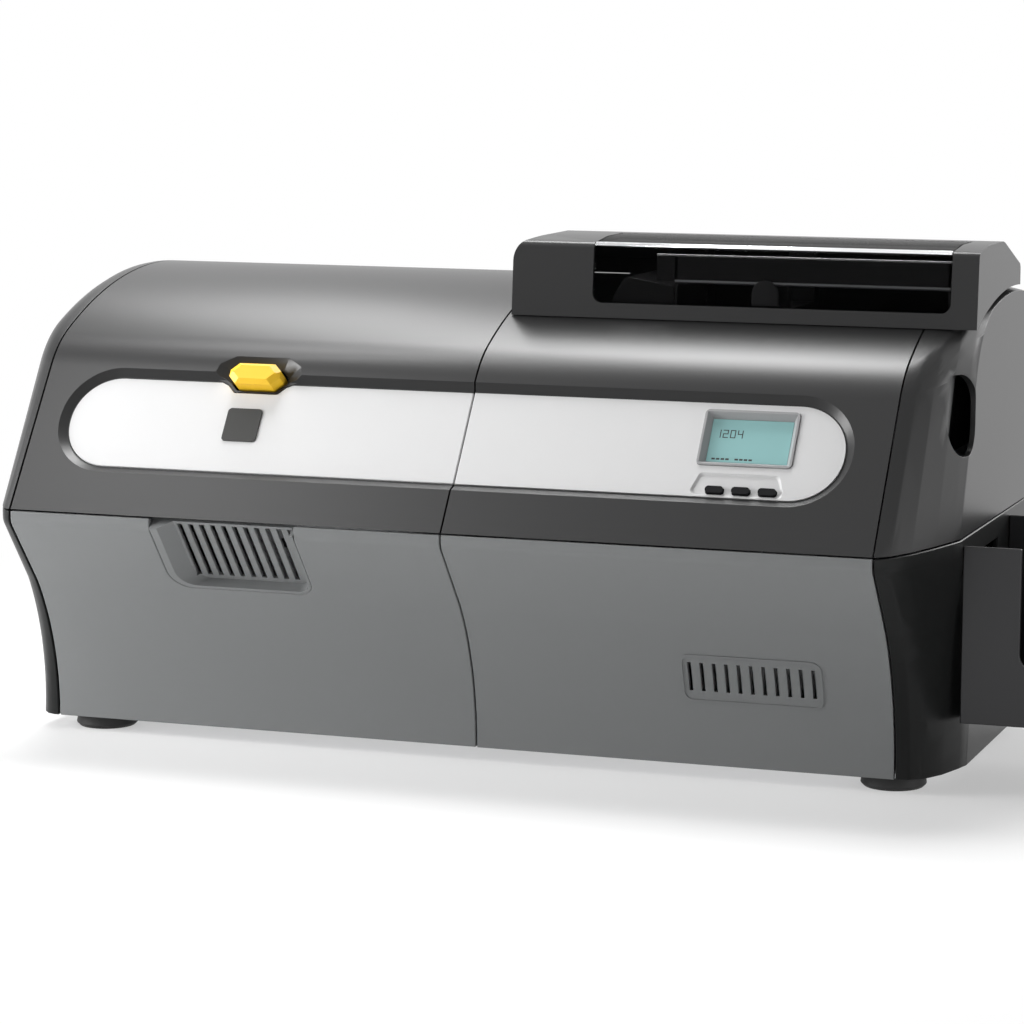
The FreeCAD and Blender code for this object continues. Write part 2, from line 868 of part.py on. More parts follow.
def base_tray():
    body = new_body("base_tray")
    left, right = LEFT_SEAM - S.seam_gap * 7, RIGHT_SEAM + S.right_cap_length * 0.6
    front, back = FRONT + S.base_setback + PANEL_SHIFT + S.fit_gap, REAR - S.wall - S.fit_gap
    add(body, "XY", S.base_height, FLOOR_TOP, oblong(left, right, front, back, S.rear_radius))
    # Two runners carry the reject bin.
    for y in (-S.reject_front + S.reject_wall, S.reject_rear - S.reject_wall * 4):
        add(body, "XY", FLOOR_TOP - S.wall * HALF, S.reject_low - S.fit_gap,
            oblong(LEFT_END + S.left_cap_length, LEFT_END + S.reject_length,
                   y, y + S.reject_wall * 3))
    # Angles along the floor take the two frame plates.
    for y0, y1 in ((FRAME_FRONT_IN + S.fit_gap, FRAME_FRONT_IN + S.fit_gap + S.wall),
                   (S.frame_rear - S.fit_gap - S.wall, S.frame_rear - S.fit_gap)):
        add(body, "XY", FLOOR_TOP - S.wall * HALF, S.reject_low - S.fit_gap,
            oblong(LEFT_END + S.reject_length + S.wall * 2, RIGHT_SEAM - S.wall, y0, y1))
    slot = cut(body, "XY", S.base_height - S.cut_overrun, FLOOR_TOP + S.cut_overrun,
               oblong(MIDDLE + S.slot_first, MIDDLE + S.slot_first + S.vent_width,
                      S.frame_rear + S.wall * 5, S.frame_rear + S.wall * 15))
    repeat_along_x(body, slot, S.vent_pitch, S.vent_count * HALF)
    return body


def foot(label, x, y):
    body = new_body(label)
    sketch = new_sketch(body, "XZ", 0)
    outline(sketch, [(0, 0), (S.foot_radius - S.foot_taper, 0), (S.foot_radius, S.foot_taper),
                     (S.foot_radius - S.foot_taper * HALF, S.base_height), (0, S.base_height)])
    turn = body.newObject("PartDesign::Revolution", label + "_turn")
    turn.Profile = sketch
    turn.ReferenceAxis = (sketch, ["V_Axis"])
    turn.Angle = 360
    body.Tip = turn
    body.setExpression("Placement.Base.x", x.text)
    body.setExpression("Placement.Base.y", y.text)
    return body


def panel_section(shift):
    base, knee, lip, top = lower_front(as_size(0))
    base_in, knee_in, lip_in, top_in = lower_front(shift)
    return [base, Bow(S.ogee_radius, -1), knee, lip, top, top_in,
            lip_in, knee_in, Bow(S.ogee_radius, 1), base_in]


# The left grille stands on the lower panel's straight slope, below the belt.
SLOPE_RUN = S.knee_setback
SLOPE_RISE = S.belt_height - S.lip_drop - S.knee_height
SLOPE_ANGLE = Size(
    180.0 - math.degrees(math.atan2(SLOPE_RISE.value, SLOPE_RUN.value)),
    "(180 - atan2(%s; %s) / 1 deg)" % (SLOPE_RISE.text, SLOPE_RUN.text))
SLOPE = Slant(MIDDLE, FRONT + S.knee_setback, S.knee_height, SLOPE_ANGLE)


def grille_outline(inset, high, scoop=0):
    """Outline of the grille's recess up to high, its left side drawn in by scoop."""
    inset = as_size(inset)
    low, left = S.grille_low + inset, as_size(scoop) - S.grille_left + inset
    return [(left, low, S.grille_left_corner - inset),
            (-S.grille_right - inset, low, S.grille_right_corner - inset),
            (-S.grille_right - inset, high), (left, high)]


def lower_panel_left():
    body = new_body("lower_panel_left")
    add(body, "YZ", LEFT_SEAM + HALF_GAP, MIDDLE - HALF_GAP, panel_section(PANEL_SHIFT))
    cut(body, SLOPE, -S.grille_depth * 2, S.grille_depth * 2,
        grille_outline(0, S.grille_top + S.lip_drop * 2))
    return body


def slot_ring(inset):
    """Round-cornered outline of the line that frames the right air slots."""
    inset = as_size(inset)
    return oblong(MIDDLE + S.slot_ring_left + inset, MIDDLE + S.slot_ring_right - inset,
                  S.slot_ring_low + inset, S.slot_ring_high - inset,
                  S.slot_ring_corner - inset)


def lower_panel_right():
    body = new_body("lower_panel_right")
    left, right = MIDDLE + HALF_GAP, RIGHT_SEAM - HALF_GAP
    add(body, "YZ", left, right, panel_section(PANEL_SHIFT))
    # A raised line round the slots, trimmed to the panel's curve in front and behind.
    add(body, "XZ", FRONT, FRONT + S.base_setback + S.wall * 2, slot_ring(0),
        slot_ring(S.slot_ring_width))
    over = S.cut_overrun
    base, knee, lip, top = lower_front(-S.slot_ring_height, over)
    cut(body, "YZ", left, right, [
        base, Bow(S.ogee_radius, -1), knee, lip, top,
        (FRONT - over * 2, BELT_UNDER), (FRONT - over * 2, S.base_height - over)])
    base, knee, lip, top = lower_front(PANEL_SHIFT, over)
    behind = FRONT + S.base_setback + S.wall * 4
    cut(body, "YZ", left, right, [
        base, (behind, S.base_height - over), (behind, BELT_UNDER + over),
        (FRONT + PANEL_SHIFT, BELT_UNDER + over), lip, knee, Bow(S.ogee_radius, 1)])
    x = MIDDLE + S.slot_first
    slot = cut(body, "XZ", FRONT, FRONT + S.base_setback + S.wall * 2,
               oblong(x - S.slot_width * HALF, x + S.slot_width * HALF,
                      S.slot_low, S.slot_high))
    repeat_along_x(body, slot, S.slot_pitch, S.slot_count)
    return body


def vent_grille():
    """Grille insert, open under the belt, whose left wall slopes in to the bars."""
    body = new_body("vent_grille")
    gap, rim = S.fit_gap, S.grille_rim + S.fit_gap
    above = S.grille_top + S.cut_overrun
    add(body, SLOPE, -S.grille_depth, -gap, grille_outline(gap, S.grille_top))
    cut_loft(body, SLOPE, (S.cut_overrun, grille_outline(rim, above)),
             (S.grille_floor - S.grille_depth, grille_outline(rim, above, S.grille_scoop)))
    slot = cut(body, SLOPE, -S.grille_depth - S.cut_overrun, 0,
               oblong(-S.grille_slot_first, -S.grille_slot_first + S.grille_slot_width,
                      S.grille_slot_low, S.grille_slot_high))
    repeat_along_x(body, slot, S.grille_slot_pitch, S.grille_slot_count)
    return body


# End caps.

class CapInsets:
    """How far an end cap's section has drawn in at a share of its length."""

    def __init__(self, share, belt, base, top, wall):
        self.belt = belt * share ** BELT_POWER + wall
        self.base = base * share ** BASE_POWER + wall
        self.top = top * share ** TOP_POWER + wall
        self.rear = S.cap_rear_inset * share ** TOP_POWER + wall


def upper_cap_section(cap, low, wall):
    """Closed side section of an upper end cap."""
    shoulder_y = shoulder(NO_INSET)[0] + cap.belt * S.cap_shoulder_share
    rear = REAR - cap.rear
    return [(FRONT + cap.belt, low),
            (shoulder_y, crest(shoulder_y, cap.top), S.shoulder_radius - wall),
            Bow(S.crest_radius - cap.top, 1),
            (rear, crest(rear, cap.top), S.rear_radius - wall), (rear, low)]


def lower_cap_section(cap, low, high):
    """Closed side section of a lower end cap."""
    knee = cap.belt * S.cap_shoulder_share + cap.base * (as_size(1) - S.cap_shoulder_share)
    return [(FRONT + S.base_setback + cap.base, low), Bow(S.ogee_radius, -1),
            (FRONT + S.knee_setback + knee, S.knee_height),
            (FRONT + cap.belt, S.belt_height - S.lip_drop, S.lip_radius),
            (FRONT + cap.belt, high), (REAR - cap.rear, high), (REAR - cap.rear, low)]


def loft_cap(body, additive, start, run, sections):
    """Lofts the closed sections that stand along a cap from start."""
    loft = add_loft if additive else cut_loft
    return loft(body, "YZ", *((start + run * share, corners) for share, corners in sections))


def end_cap(label, start, run, insets, lower):
    """A hollow end cap, closed by its end wall and open towards the printer."""
    body = new_body(label)
    end_wall = S.wall if run.value > 0 else -S.wall
    for additive in (True, False):
        wall = NO_INSET if additive else S.wall
        length = run if additive else run - end_wall
        sections = []
        for share in STATION_SHARES:
            cap = CapInsets(share, *insets, wall)
            if lower:
                corners = lower_cap_section(cap, S.base_height - wall, BELT_UNDER + wall)
            else:
                corners = upper_cap_section(cap, BELT_TOP - wall, wall)
            sections.append((share, corners))
        loft_cap(body, additive, start, length, sections)
    return body


RIGHT_INSETS = (S.right_cap_belt_inset, S.right_cap_base_inset, S.right_cap_top_drop)
LEFT_INSETS = (S.left_cap_belt_inset, S.left_cap_base_inset, S.left_cap_top_drop)


def right_end_upper():
    body = end_cap("right_end_upper", RIGHT_SEAM + HALF_GAP, S.right_cap_length - HALF_GAP,
                   RIGHT_INSETS, False)
    feeder_mouth(body)
    end_tabs(body, RIGHT_END - S.wall * 2)
    # The long opening in the end, rounded above and below.
    cut(body, "YZ", RIGHT_END - S.grip_depth, RIGHT_END + S.cut_overrun,
        oblong(S.grip_front, S.grip_front + S.grip_width, S.grip_low, S.grip_high,
               S.grip_width * 0.45))
    return body


def right_end_lower():
    body = end_cap("right_end_lower", RIGHT_SEAM + HALF_GAP, S.right_cap_length - HALF_GAP,
                   RIGHT_INSETS, True)
    # The card exit slot, above the hopper.
    cut(body, "YZ", RIGHT_END - S.wall * 2, RIGHT_END + S.cut_overrun,
        oblong(CARD_FRONT - S.wall, CARD_REAR + S.wall,
               S.path_height - S.slot_clearance, S.path_height + S.slot_clearance))
    return body


def left_end_lower():
    body = end_cap("left_end_lower", LEFT_SEAM - HALF_GAP, HALF_GAP - S.left_cap_length,
                   LEFT_INSETS, True)
    cut(body, "YZ", LEFT_END - S.cut_overrun, LEFT_END + S.wall * 2,
        oblong(-S.reject_front - S.reject_gap, S.reject_rear + S.reject_gap,
               S.reject_low - S.reject_gap, S.reject_high + S.reject_gap))
    return body


def left_end_upper():
    body = end_cap("left_end_upper", LEFT_SEAM - HALF_GAP, HALF_GAP - S.left_cap_length,
                   LEFT_INSETS, False)
    end_tabs(body, LEFT_END + S.wall)
    return body


# Upper covers.

def cover_section(rear_place, down_to):
    """Wall section of an upper cover from the belt to rear_place, or round the rear."""
    face, face_in = belt_edge(NO_INSET), belt_edge(S.wall)
    out = shoulder(NO_INSET) + (S.shoulder_radius,)
    inner = shoulder(S.wall) + (S.shoulder_radius - S.wall,)
    if down_to is None:
        rear = rear_place
        return [face, out, Bow(S.crest_radius, 1), (rear, crest(rear, NO_INSET)),
                (rear, crest(rear, S.wall)), Bow(S.crest_radius - S.wall, -1), inner, face_in]
    rear, rear_in = rear_place, rear_place - S.wall
    return [face, out, Bow(S.crest_radius, 1),
            (rear, crest(rear, NO_INSET), S.rear_radius), (rear, down_to), (rear_in, down_to),
            (rear_in, crest(rear_in, S.wall), S.rear_radius - S.wall),
            Bow(S.crest_radius - S.wall, -1), inner, face_in]


def strip_outline(left, right, grow=0):
    """Outline of one half of the strip, round at its outer end, grown all round."""
    grow = as_size(grow)
    low, high, corner = -grow, S.strip_width + grow, S.strip_corner + grow
    if -left.value > right.value:
        return [(left - grow, low, corner), (right, low), (right, high),
                (left - grow, high, corner)]
    return [(left, low), (right + grow, low, corner), (right + grow, high, corner),
            (left, high)]


STRIP_TOP = -S.strip_sink
SEAT_DEPTH = S.strip_sink + S.strip_thickness
TRAY_BACK = SEAT_DEPTH + S.tray_floor
DITCH_DEPTH = S.strip_sink + S.ditch_below_strip


def strip_ditch(body, left, right, inner_left, inner_right):
    """The sloping ditch and the seat in which one half of the strip lies."""
    add(body, FACE, -TRAY_BACK, -S.wall * HALF, strip_outline(inner_left, inner_right,
                                                              S.ditch_margin))
    over = S.wall * HALF
    spread = (S.ditch_margin - S.ditch_foot) / DITCH_DEPTH
    cut_loft(body, FACE, (over, strip_outline(left, right, S.ditch_margin + spread * over)),
             (-DITCH_DEPTH, strip_outline(left, right, S.ditch_foot)))
    cut(body, FACE, -SEAT_DEPTH, -S.strip_sink, strip_outline(left, right, S.fit_gap))


def knuckles(body, x_places, length, z, web_from, web_to, web_low, web_high):
    """Hinge knuckles round the axis at height z, each on a web."""
    for x in x_places:
        add(body, "YZ", x, x + length, ("circle", HINGE_Y, z, S.knuckle_radius))
        add(body, "YZ", x, x + length, oblong(web_from, web_to, web_low, web_high))


def hinge_bore(body, y, z, left, right):
    cut(body, "YZ", left, right, ("circle", y, z, S.hinge_pin_radius + S.pin_clearance))


COVER_HINGES = (LEFT_SEAM + S.hinge_inset, MIDDLE - S.hinge_inset - S.knuckle_length * 2)
LID_LEFT = MIDDLE + S.lid_offset
LID_HINGES = (LID_LEFT + S.hinge_inset, RIGHT_SEAM - S.hinge_inset - S.knuckle_length * 2)


def fixed_knuckle_places(x):
    return (x, x + S.knuckle_length * 1.5 + S.knuckle_gap)


def print_cover():
    body = new_body("print_cover")
    rear = HINGE_Y - S.hinge_split
    left, right = LEFT_SEAM + HALF_GAP, MIDDLE - HALF_GAP
    add(body, "YZ", left, right, cover_section(rear, None))
    strip_ditch(body, -S.strip_left_reach, S.wall, -S.strip_left_reach, -HALF_GAP)
    # The tub round the latch, whose walls slope in to the button.
    add(body, FACE, -S.latch_pocket_depth, STRIP_TOP, pocket_outline(S.latch_pocket_wall))
    cut_loft(body, FACE, (S.fit_gap, pocket_outline(0)),
             (-S.latch_pocket_slope, button_outline(S.latch_play)))
    cut(body, FACE, S.latch_pocket_wall - S.latch_pocket_depth, S.fit_gap - S.latch_pocket_slope,
        button_outline(S.latch_play))
    cut(body, FACE, -S.latch_pocket_depth - S.cut_overrun, S.wall,
        ("circle", -S.latch_centre, S.latch_low + S.latch_height * HALF,
         S.latch_stem_radius + S.fit_gap))
    for x in COVER_HINGES:
        middle = x + S.knuckle_length * HALF + S.knuckle_gap
        knuckles(body, (middle,), S.knuckle_length - S.knuckle_gap, COVER_HINGE_Z,
                 rear - S.wall, HINGE_Y, COVER_HINGE_Z - S.knuckle_web * HALF,
                 crest(HINGE_Y, S.wall * HALF))
        hinge_bore(body, HINGE_Y, COVER_HINGE_Z, x - S.wall, x + S.knuckle_length * 2 + S.wall)
    return body


def rear_top_cover():
    """Fixed strip of skin behind the print cover, round the rear edge."""
    body = new_body("rear_top_cover")
    front, rear = HINGE_Y + S.hinge_split, REAR
    rear_in = rear - S.wall
    # A gutter under the hinges closes the gap between the two covers.
    gutter = HINGE_Y - S.hinge_split * 1.6
    left, right = LEFT_SEAM + HALF_GAP, MIDDLE - HALF_GAP
    add(body, "YZ", left, right,
        [(front, crest(front, NO_INSET)), Bow(S.crest_radius, 1),
         (rear, crest(rear, NO_INSET), S.rear_radius), (rear, S.rear_edge_height),
         (rear_in, S.rear_edge_height),
         (rear_in, crest(rear_in, S.wall), S.rear_radius - S.wall),
         Bow(S.crest_radius - S.wall, -1), (front + S.wall, crest(front + S.wall, S.wall)),
         (front + S.wall, GUTTER_FLOOR), (gutter, GUTTER_FLOOR),
         (gutter, GUTTER_FLOOR + S.wall * HALF), (front, GUTTER_FLOOR + S.wall * HALF)])
    rear_tabs(body, left, right)
    for x in COVER_HINGES:
        knuckles(body, fixed_knuckle_places(x), S.knuckle_length * HALF, COVER_HINGE_Z,
                 HINGE_Y, front + S.wall, COVER_HINGE_Z - S.knuckle_web,
                 COVER_HINGE_Z + S.knuckle_web)
        hinge_bore(body, HINGE_Y, COVER_HINGE_Z, x - S.wall, x + S.knuckle_length * 2 + S.wall)
    return body


def upper_cover_right():
    body = new_body("upper_cover_right")
    left, right = MIDDLE + HALF_GAP, RIGHT_SEAM - HALF_GAP
    add(body, "YZ", left, right, cover_section(REAR, S.rear_edge_height))
    strip_ditch(body, -S.wall, S.strip_right_reach, HALF_GAP, S.strip_right_reach)
    rear_tabs(body, left, right)
    belt_tongues(body, left, right)
    cut(body, FACE, -TRAY_BACK - S.wall, 0, display_outline(S.bezel_seat))
    cut(body, FACE, -TRAY_BACK - S.wall, 0, oblong(
        S.key_first - S.key_length, S.key_first + S.key_pitch * 2 + S.key_length,
        S.key_rise - S.key_height, S.key_rise + S.key_height))
    feeder_mouth(body)
    for x in LID_HINGES:
        for start in fixed_knuckle_places(x):
            knuckles(body, (start,), S.knuckle_length * HALF, LID_HINGE_Z,
                     HINGE_Y - S.wall, HINGE_Y + S.wall, crest(HINGE_Y, S.wall * HALF),
                     LID_HINGE_Z)
        hinge_bore(body, HINGE_Y, LID_HINGE_Z, x - S.wall,
                   x + S.knuckle_length * 2 + S.wall)
    return body


def gather(label, pieces):
    """Makes one sub-part of several like pieces."""
    group = doc.addObject("Part::Compound", label)
    group.Links = pieces
    group.Label = label
    return group


def hinge_pins():
    """The steel pins of the print cover's and the feeder lid's hinges."""
    pins = []
    places = [(x, COVER_HINGE_Z) for x in COVER_HINGES]
    places += [(x, LID_HINGE_Z) for x in LID_HINGES]
    for number, (x, z) in enumerate(places, start=1):
        pin = new_body("hinge_pin_%d" % number)
        add(pin, "YZ", x, x + S.knuckle_length * 2 + S.knuckle_gap,
            ("circle", HINGE_Y, z, S.hinge_pin_radius))
        pins.append(pin)
    return gather("hinge_pins", pins)


# Front strip, display, keys and badge.

def strip_left():
    body = new_body("strip_left")
    add(body, FACE, -SEAT_DEPTH, STRIP_TOP, strip_outline(-S.strip_left_reach, -HALF_GAP))
    cut(body, FACE, -SEAT_DEPTH - S.wall, 0, pocket_outline(S.latch_pocket_wall + S.fit_gap))
    return body


def strip_right():
    body = new_body("strip_right")
    add(body, FACE, -SEAT_DEPTH, STRIP_TOP, strip_outline(HALF_GAP, S.strip_right_reach))
    cut(body, FACE, -SEAT_DEPTH - S.wall, 0,
        display_outline(-S.window_gap, S.bezel_corner))
    cut_loft(body, FACE, (STRIP_TOP + S.window_gap, pad_outline(0)),
             (STRIP_TOP - S.pad_depth, pad_outline(S.pad_slope)))
    for number in range(3):
        cut(body, FACE, -SEAT_DEPTH - S.wall, 0, key_outline(number, S.key_play))
    return body


def display_outline(inset, corner=None):
    """Outline of the display's frame, drawn in by inset, with round corners where given."""
    inset = as_size(inset)
    return oblong(S.display_left + inset, S.display_left + S.display_width - inset,
                  S.display_low + inset, S.display_low + S.display_height - inset, corner)


def pad_outline(inset):
    """Outline of the sunk pad round the keys, narrower above than below."""
    inset = as_size(inset)
    low, high = S.pad_low + inset * HALF, S.pad_high - inset
    return [(S.pad_left + inset, low, S.pad_corner), (S.pad_right - inset, low, S.pad_corner),
            (S.pad_right - S.pad_lean - inset, high, S.pad_corner),
            (S.pad_left + S.pad_lean + inset, high, S.pad_corner)]


BEZEL_TOP = STRIP_TOP + S.bezel_lift
GLASS_TOP = BEZEL_TOP - S.glass_sink
GLASS_BACK = GLASS_TOP - S.glass_thickness


def lcd_bezel():
    """Frame of the display, whose inner walls slope down to the sunk glass."""
    body = new_body("lcd_bezel")
    add(body, FACE, -SEAT_DEPTH, BEZEL_TOP, display_outline(0, S.bezel_corner))
    add(body, FACE, GLASS_BACK, -SEAT_DEPTH + S.fit_gap,
        display_outline(S.bezel_seat + S.window_gap))
    cut_loft(body, FACE, (BEZEL_TOP + S.window_gap, display_outline(S.bezel_lip)),
             (GLASS_TOP, display_outline(S.bezel_rim)))
    cut(body, FACE, GLASS_BACK - S.wall, GLASS_TOP + S.window_gap,
        display_outline(S.bezel_rim))
    return body


def lcd_glass():
    body = new_body("lcd_glass")
    add(body, FACE, GLASS_BACK, GLASS_TOP, display_outline(S.bezel_rim + S.window_gap))
    return body


KEY_NAMES = ("left", "middle", "right")


def key_outline(number, grow, corner=S.key_corner):
    grow = as_size(grow)
    x = S.key_first + S.key_pitch * number
    return oblong(x - S.key_length * HALF - grow, x + S.key_length * HALF + grow,
                  S.key_rise - S.key_height * HALF - grow,
                  S.key_rise + S.key_height * HALF + grow, corner)


KEY_FLANGE_TOP = -SEAT_DEPTH - S.fit_gap


def soft_key(number):
    body = new_body("soft_key_" + KEY_NAMES[number])
    flange_top = KEY_FLANGE_TOP
    add(body, FACE, flange_top - S.key_flange, flange_top,
        key_outline(number, S.key_flange_rim, None))
    add(body, FACE, flange_top - S.key_flange * HALF, STRIP_TOP + S.key_lift,
        key_outline(number, 0))
    return body


def display_board():
    """Display module and key switches on one circuit board, behind the face."""
    body = new_body("display_board")
    top = GLASS_BACK - S.fit_gap
    back = top - S.module_depth - S.board_thickness
    left, right = S.display_left - S.board_margin * HALF, (
        S.display_left + S.display_width + S.board_margin * HALF)
    add(body, FACE, back, back + S.board_thickness, oblong(
        left, right, -S.key_rise * HALF, S.display_low + S.display_height + S.board_margin))
    add(body, FACE, back + S.board_thickness * HALF, top, oblong(
        S.display_left + S.wall + S.fit_gap * 2,
        S.display_left + S.display_width - S.wall - S.fit_gap * 2,
        S.display_low + S.wall + S.fit_gap * 2,
        S.display_low + S.display_height - S.wall - S.fit_gap * 2))
    key_switch_top = KEY_FLANGE_TOP - S.key_flange - S.key_travel - S.fit_gap
    for number in range(3):
        x = S.key_first + S.key_pitch * number
        add(body, FACE, back + S.board_thickness * HALF, key_switch_top,
            oblong(x - S.key_height, x + S.key_height,
                   S.key_rise - S.key_height * HALF, S.key_rise + S.key_height * HALF))
    # Pillars that stand against the inside of the cover.
    pillar = S.wall * 0.8
    for x in (left + pillar, right - pillar):
        add(body, FACE, back + S.board_thickness * HALF, -TRAY_BACK - S.fit_gap,
            *(oblong(x - pillar, x + pillar, y - pillar, y + pillar) for y in (
                S.display_low - S.wall,
                S.display_low + S.display_height + S.board_margin - S.wall)))
    return body


def badge_plate():
    body = new_body("badge_plate")
    add(body, FACE, STRIP_TOP, STRIP_TOP + S.badge_thickness, oblong(
        -S.badge_left, -S.badge_left + S.badge_side,
        S.badge_low, S.badge_low + S.badge_side, S.badge_corner))
    return body


# Latch.

def mirrored(corners):
    """Corners given for the right half, joined by their mirror images about the latch."""
    middle = -S.latch_centre
    right = [(middle + corner[0],) + tuple(corner[1:]) for corner in corners]
    left = [(middle - corner[0],) + tuple(corner[1:]) for corner in reversed(corners)]
    return right + left


def button_outline(grow):
    """The button's outline with its cut corners, grown all round."""
    grow = as_size(grow)
    half = S.latch_length * HALF + grow
    low, high = S.latch_low - grow, S.latch_low + S.latch_height + grow
    cut_back = S.latch_chamfer
    return mirrored([(half - cut_back, low), (half, low + cut_back),
                     (half, (low + high) * HALF), (half, high - cut_back),
                     (half - cut_back, high)])


def pocket_outline(grow):
    """Mouth of the latch pocket: close to the button below, wide above the strip."""
    grow = as_size(grow)
    half, low = S.latch_length * HALF + S.latch_play + grow, S.latch_low - S.latch_play - grow
    wide = S.latch_pocket_length * HALF + grow
    high = S.latch_low + S.latch_height + S.latch_pocket_above + grow
    return mirrored([(half - S.latch_chamfer, low), (half, low + S.latch_chamfer),
                     (wide, S.latch_low + S.latch_pocket_waist),
                     (wide * 0.94, high - S.latch_pocket_shoulder),
                     (S.latch_pocket_top_length * HALF + grow, high)])


def latch_button():
    """Yellow release button with its stem and hook."""
    body = new_body("latch_button")
    x, low = -S.latch_centre, S.latch_low
    add(body, FACE, -S.latch_body, S.latch_proud - S.latch_edge, button_outline(0))
    add_loft(body, FACE, (S.latch_proud - S.latch_edge, button_outline(0)),
             (S.latch_proud, button_outline(-S.latch_edge)))
    stem = -S.latch_body - S.latch_stem_length
    middle = low + S.latch_height * HALF
    add(body, FACE, stem, -S.latch_body * HALF, ("circle", x, middle, S.latch_stem_radius))
    add(body, FACE, stem - S.wall, stem + S.wall * HALF, oblong(
        x - S.latch_stem_radius * 2, x + S.latch_stem_radius * 2,
        middle - S.latch_stem_radius * 3, middle + S.latch_stem_radius))
    return body


# Feeder lid.

def lid_outer(inset, bottom):
    """The lid's side outline over its bottom corners."""
    inset = as_size(inset)
    return [(-S.lid_front + inset, bottom),
            (-S.lid_front_top + inset, LID_FRONT_TOP - inset, S.lid_corner - inset),
            (S.lid_flat_front, LID_TOP - inset),
            (S.lid_flat_rear, LID_TOP - inset, S.lid_crown - inset),
            (S.lid_rear - inset, LID_REAR_TOP - inset, S.lid_corner - inset)]


def feeder_lid():
    body = new_body("feeder_lid")
    gap = -S.lid_gap
    front, rear = -S.lid_front, S.lid_rear
    add(body, "YZ", LID_LEFT, RIGHT_END,
        lid_outer(0, crest(front, gap)) + [(rear, crest(rear, gap)),
                                           Bow(S.crest_radius - gap, -1)])
    # The upper left corner is round, seen from the front.
    over, bend = S.cut_overrun, S.lid_left_corner
    cut(body, "XZ", front - over, rear + over,
        [(LID_LEFT - over, LID_TOP - bend), (LID_LEFT, LID_TOP - bend),
         Bow(bend, 1), (LID_LEFT + bend, LID_TOP), (LID_LEFT + bend, LID_TOP + over),
         (LID_LEFT - over, LID_TOP + over)])
    # The hollow, whose end under the round corner is drawn from the front.
    wall, inside_low = S.lid_wall, BIN_TOP - S.wall * 2
    cut(body, "YZ", LID_LEFT + bend, RIGHT_END - wall,
        lid_outer(wall, inside_low) + [(S.lid_rear - wall, inside_low)])
    cut(body, "XZ", wall - S.lid_front_top, S.lid_flat_rear,
        [(LID_LEFT + wall, inside_low), (LID_LEFT + wall, LID_TOP - bend),
         Bow(bend - wall, 1), (LID_LEFT + bend, LID_TOP - wall),
         (LID_LEFT + bend + over, LID_TOP - wall), (LID_LEFT + bend + over, inside_low)])
    left, right = LID_LEFT + S.window_left, RIGHT_END - S.window_right
    high = LID_TOP + S.cut_overrun
    cut(body, "XZ", -S.lid_front - S.cut_overrun, S.lid_flat_front - S.lid_corner,
        [(left, WINDOW_LOW, S.window_corner), (right, WINDOW_LOW, S.window_corner),
         (right, high), (left, high)])
    cut(body, "XY", LID_TOP - S.lid_wall * 3, high,
        oblong(left, right, -S.lid_front - S.cut_overrun, S.window_back))
    for x in LID_HINGES:
        middle = x + S.knuckle_length * HALF + S.knuckle_gap
        knuckles(body, (middle,), S.knuckle_length - S.knuckle_gap, LID_HINGE_Z,
                 S.lid_rear - S.lid_wall * HALF, HINGE_Y,
                 LID_HINGE_Z - S.knuckle_web * HALF,
                 LID_HINGE_Z + S.knuckle_web * HALF)
        hinge_bore(body, HINGE_Y, LID_HINGE_Z, x - S.wall,
                   x + S.knuckle_length * 2 + S.wall)
    return body


def feeder_window():
    """Smoked window that wraps from the lid's front over its top."""
    body = new_body("feeder_window")
    gap, wall = S.window_gap, S.lid_wall
    left, right = LID_LEFT + S.window_left + gap, RIGHT_END - S.window_right - gap
    low, back = WINDOW_LOW + gap, S.window_back - gap
    lean = (S.lid_front - S.lid_front_top) / (LID_FRONT_TOP - crest(-S.lid_front,
                                                                         -S.lid_gap))
    front = -S.lid_front + (low - crest(-S.lid_front, -S.lid_gap)) * lean
    add(body, "YZ", left, right,
        [(front, low), (-S.lid_front_top, LID_FRONT_TOP, S.lid_corner),
         (S.lid_flat_front, LID_TOP), (back, LID_TOP),
         (back, LID_TOP - wall), (S.lid_flat_front, LID_TOP - wall),
         (wall - S.lid_front_top, LID_FRONT_TOP - wall, S.lid_corner - wall),
         (front + wall, low)])
    near = 1e-3

    def low_corner(edge):
        ends = edge.firstVertex().Point, edge.lastVertex().Point
        return (all(abs(end.z - low.value) < near for end in ends)
                and abs(ends[0].x - ends[1].x) < near)
    round_edges(body, S.window_corner - gap, low_corner)
    return body


# Sheet metal frame and card path.

FRAME_LEFT = LEFT_END + S.frame_left_inset
FRAME_RIGHT = RIGHT_END - S.frame_right_inset
SUPPLY_X = PLATEN_X - S.spool_spread
TAKEUP_X = PLATEN_X + S.spool_spread
FLIPPER_X = LEFT_END + S.flipper_place
ROLLER_PLACES = [PLATEN_X + S.roller_pitch * number for number in range(1, 6)]
BIN_LEFT = MIDDLE + S.bin_left
BIN_RIGHT = BIN_LEFT + S.bin_length
PICK_X = BIN_LEFT - S.bin_wall + S.pick_reach - S.pick_radius


def frame_outline():
    """Side view of a frame plate: low by the print head, posts for the ribbon spools."""
    half = S.frame_post_half
    return [(FRAME_LEFT, FLOOR_TOP), (FRAME_RIGHT, FLOOR_TOP), (FRAME_RIGHT, S.frame_feed_top),
            (MIDDLE + S.wall, S.frame_feed_top), (MIDDLE + S.wall, S.frame_low_top),
            (TAKEUP_X + half, S.frame_low_top), (TAKEUP_X + half, S.frame_post_top),
            (TAKEUP_X - half, S.frame_post_top), (TAKEUP_X - half, S.frame_head_top),
            (SUPPLY_X + half, S.frame_head_top), (SUPPLY_X + half, S.frame_post_top),
            (SUPPLY_X - half, S.frame_post_top), (SUPPLY_X - half, S.frame_low_top),
            (FRAME_LEFT, S.frame_low_top)]


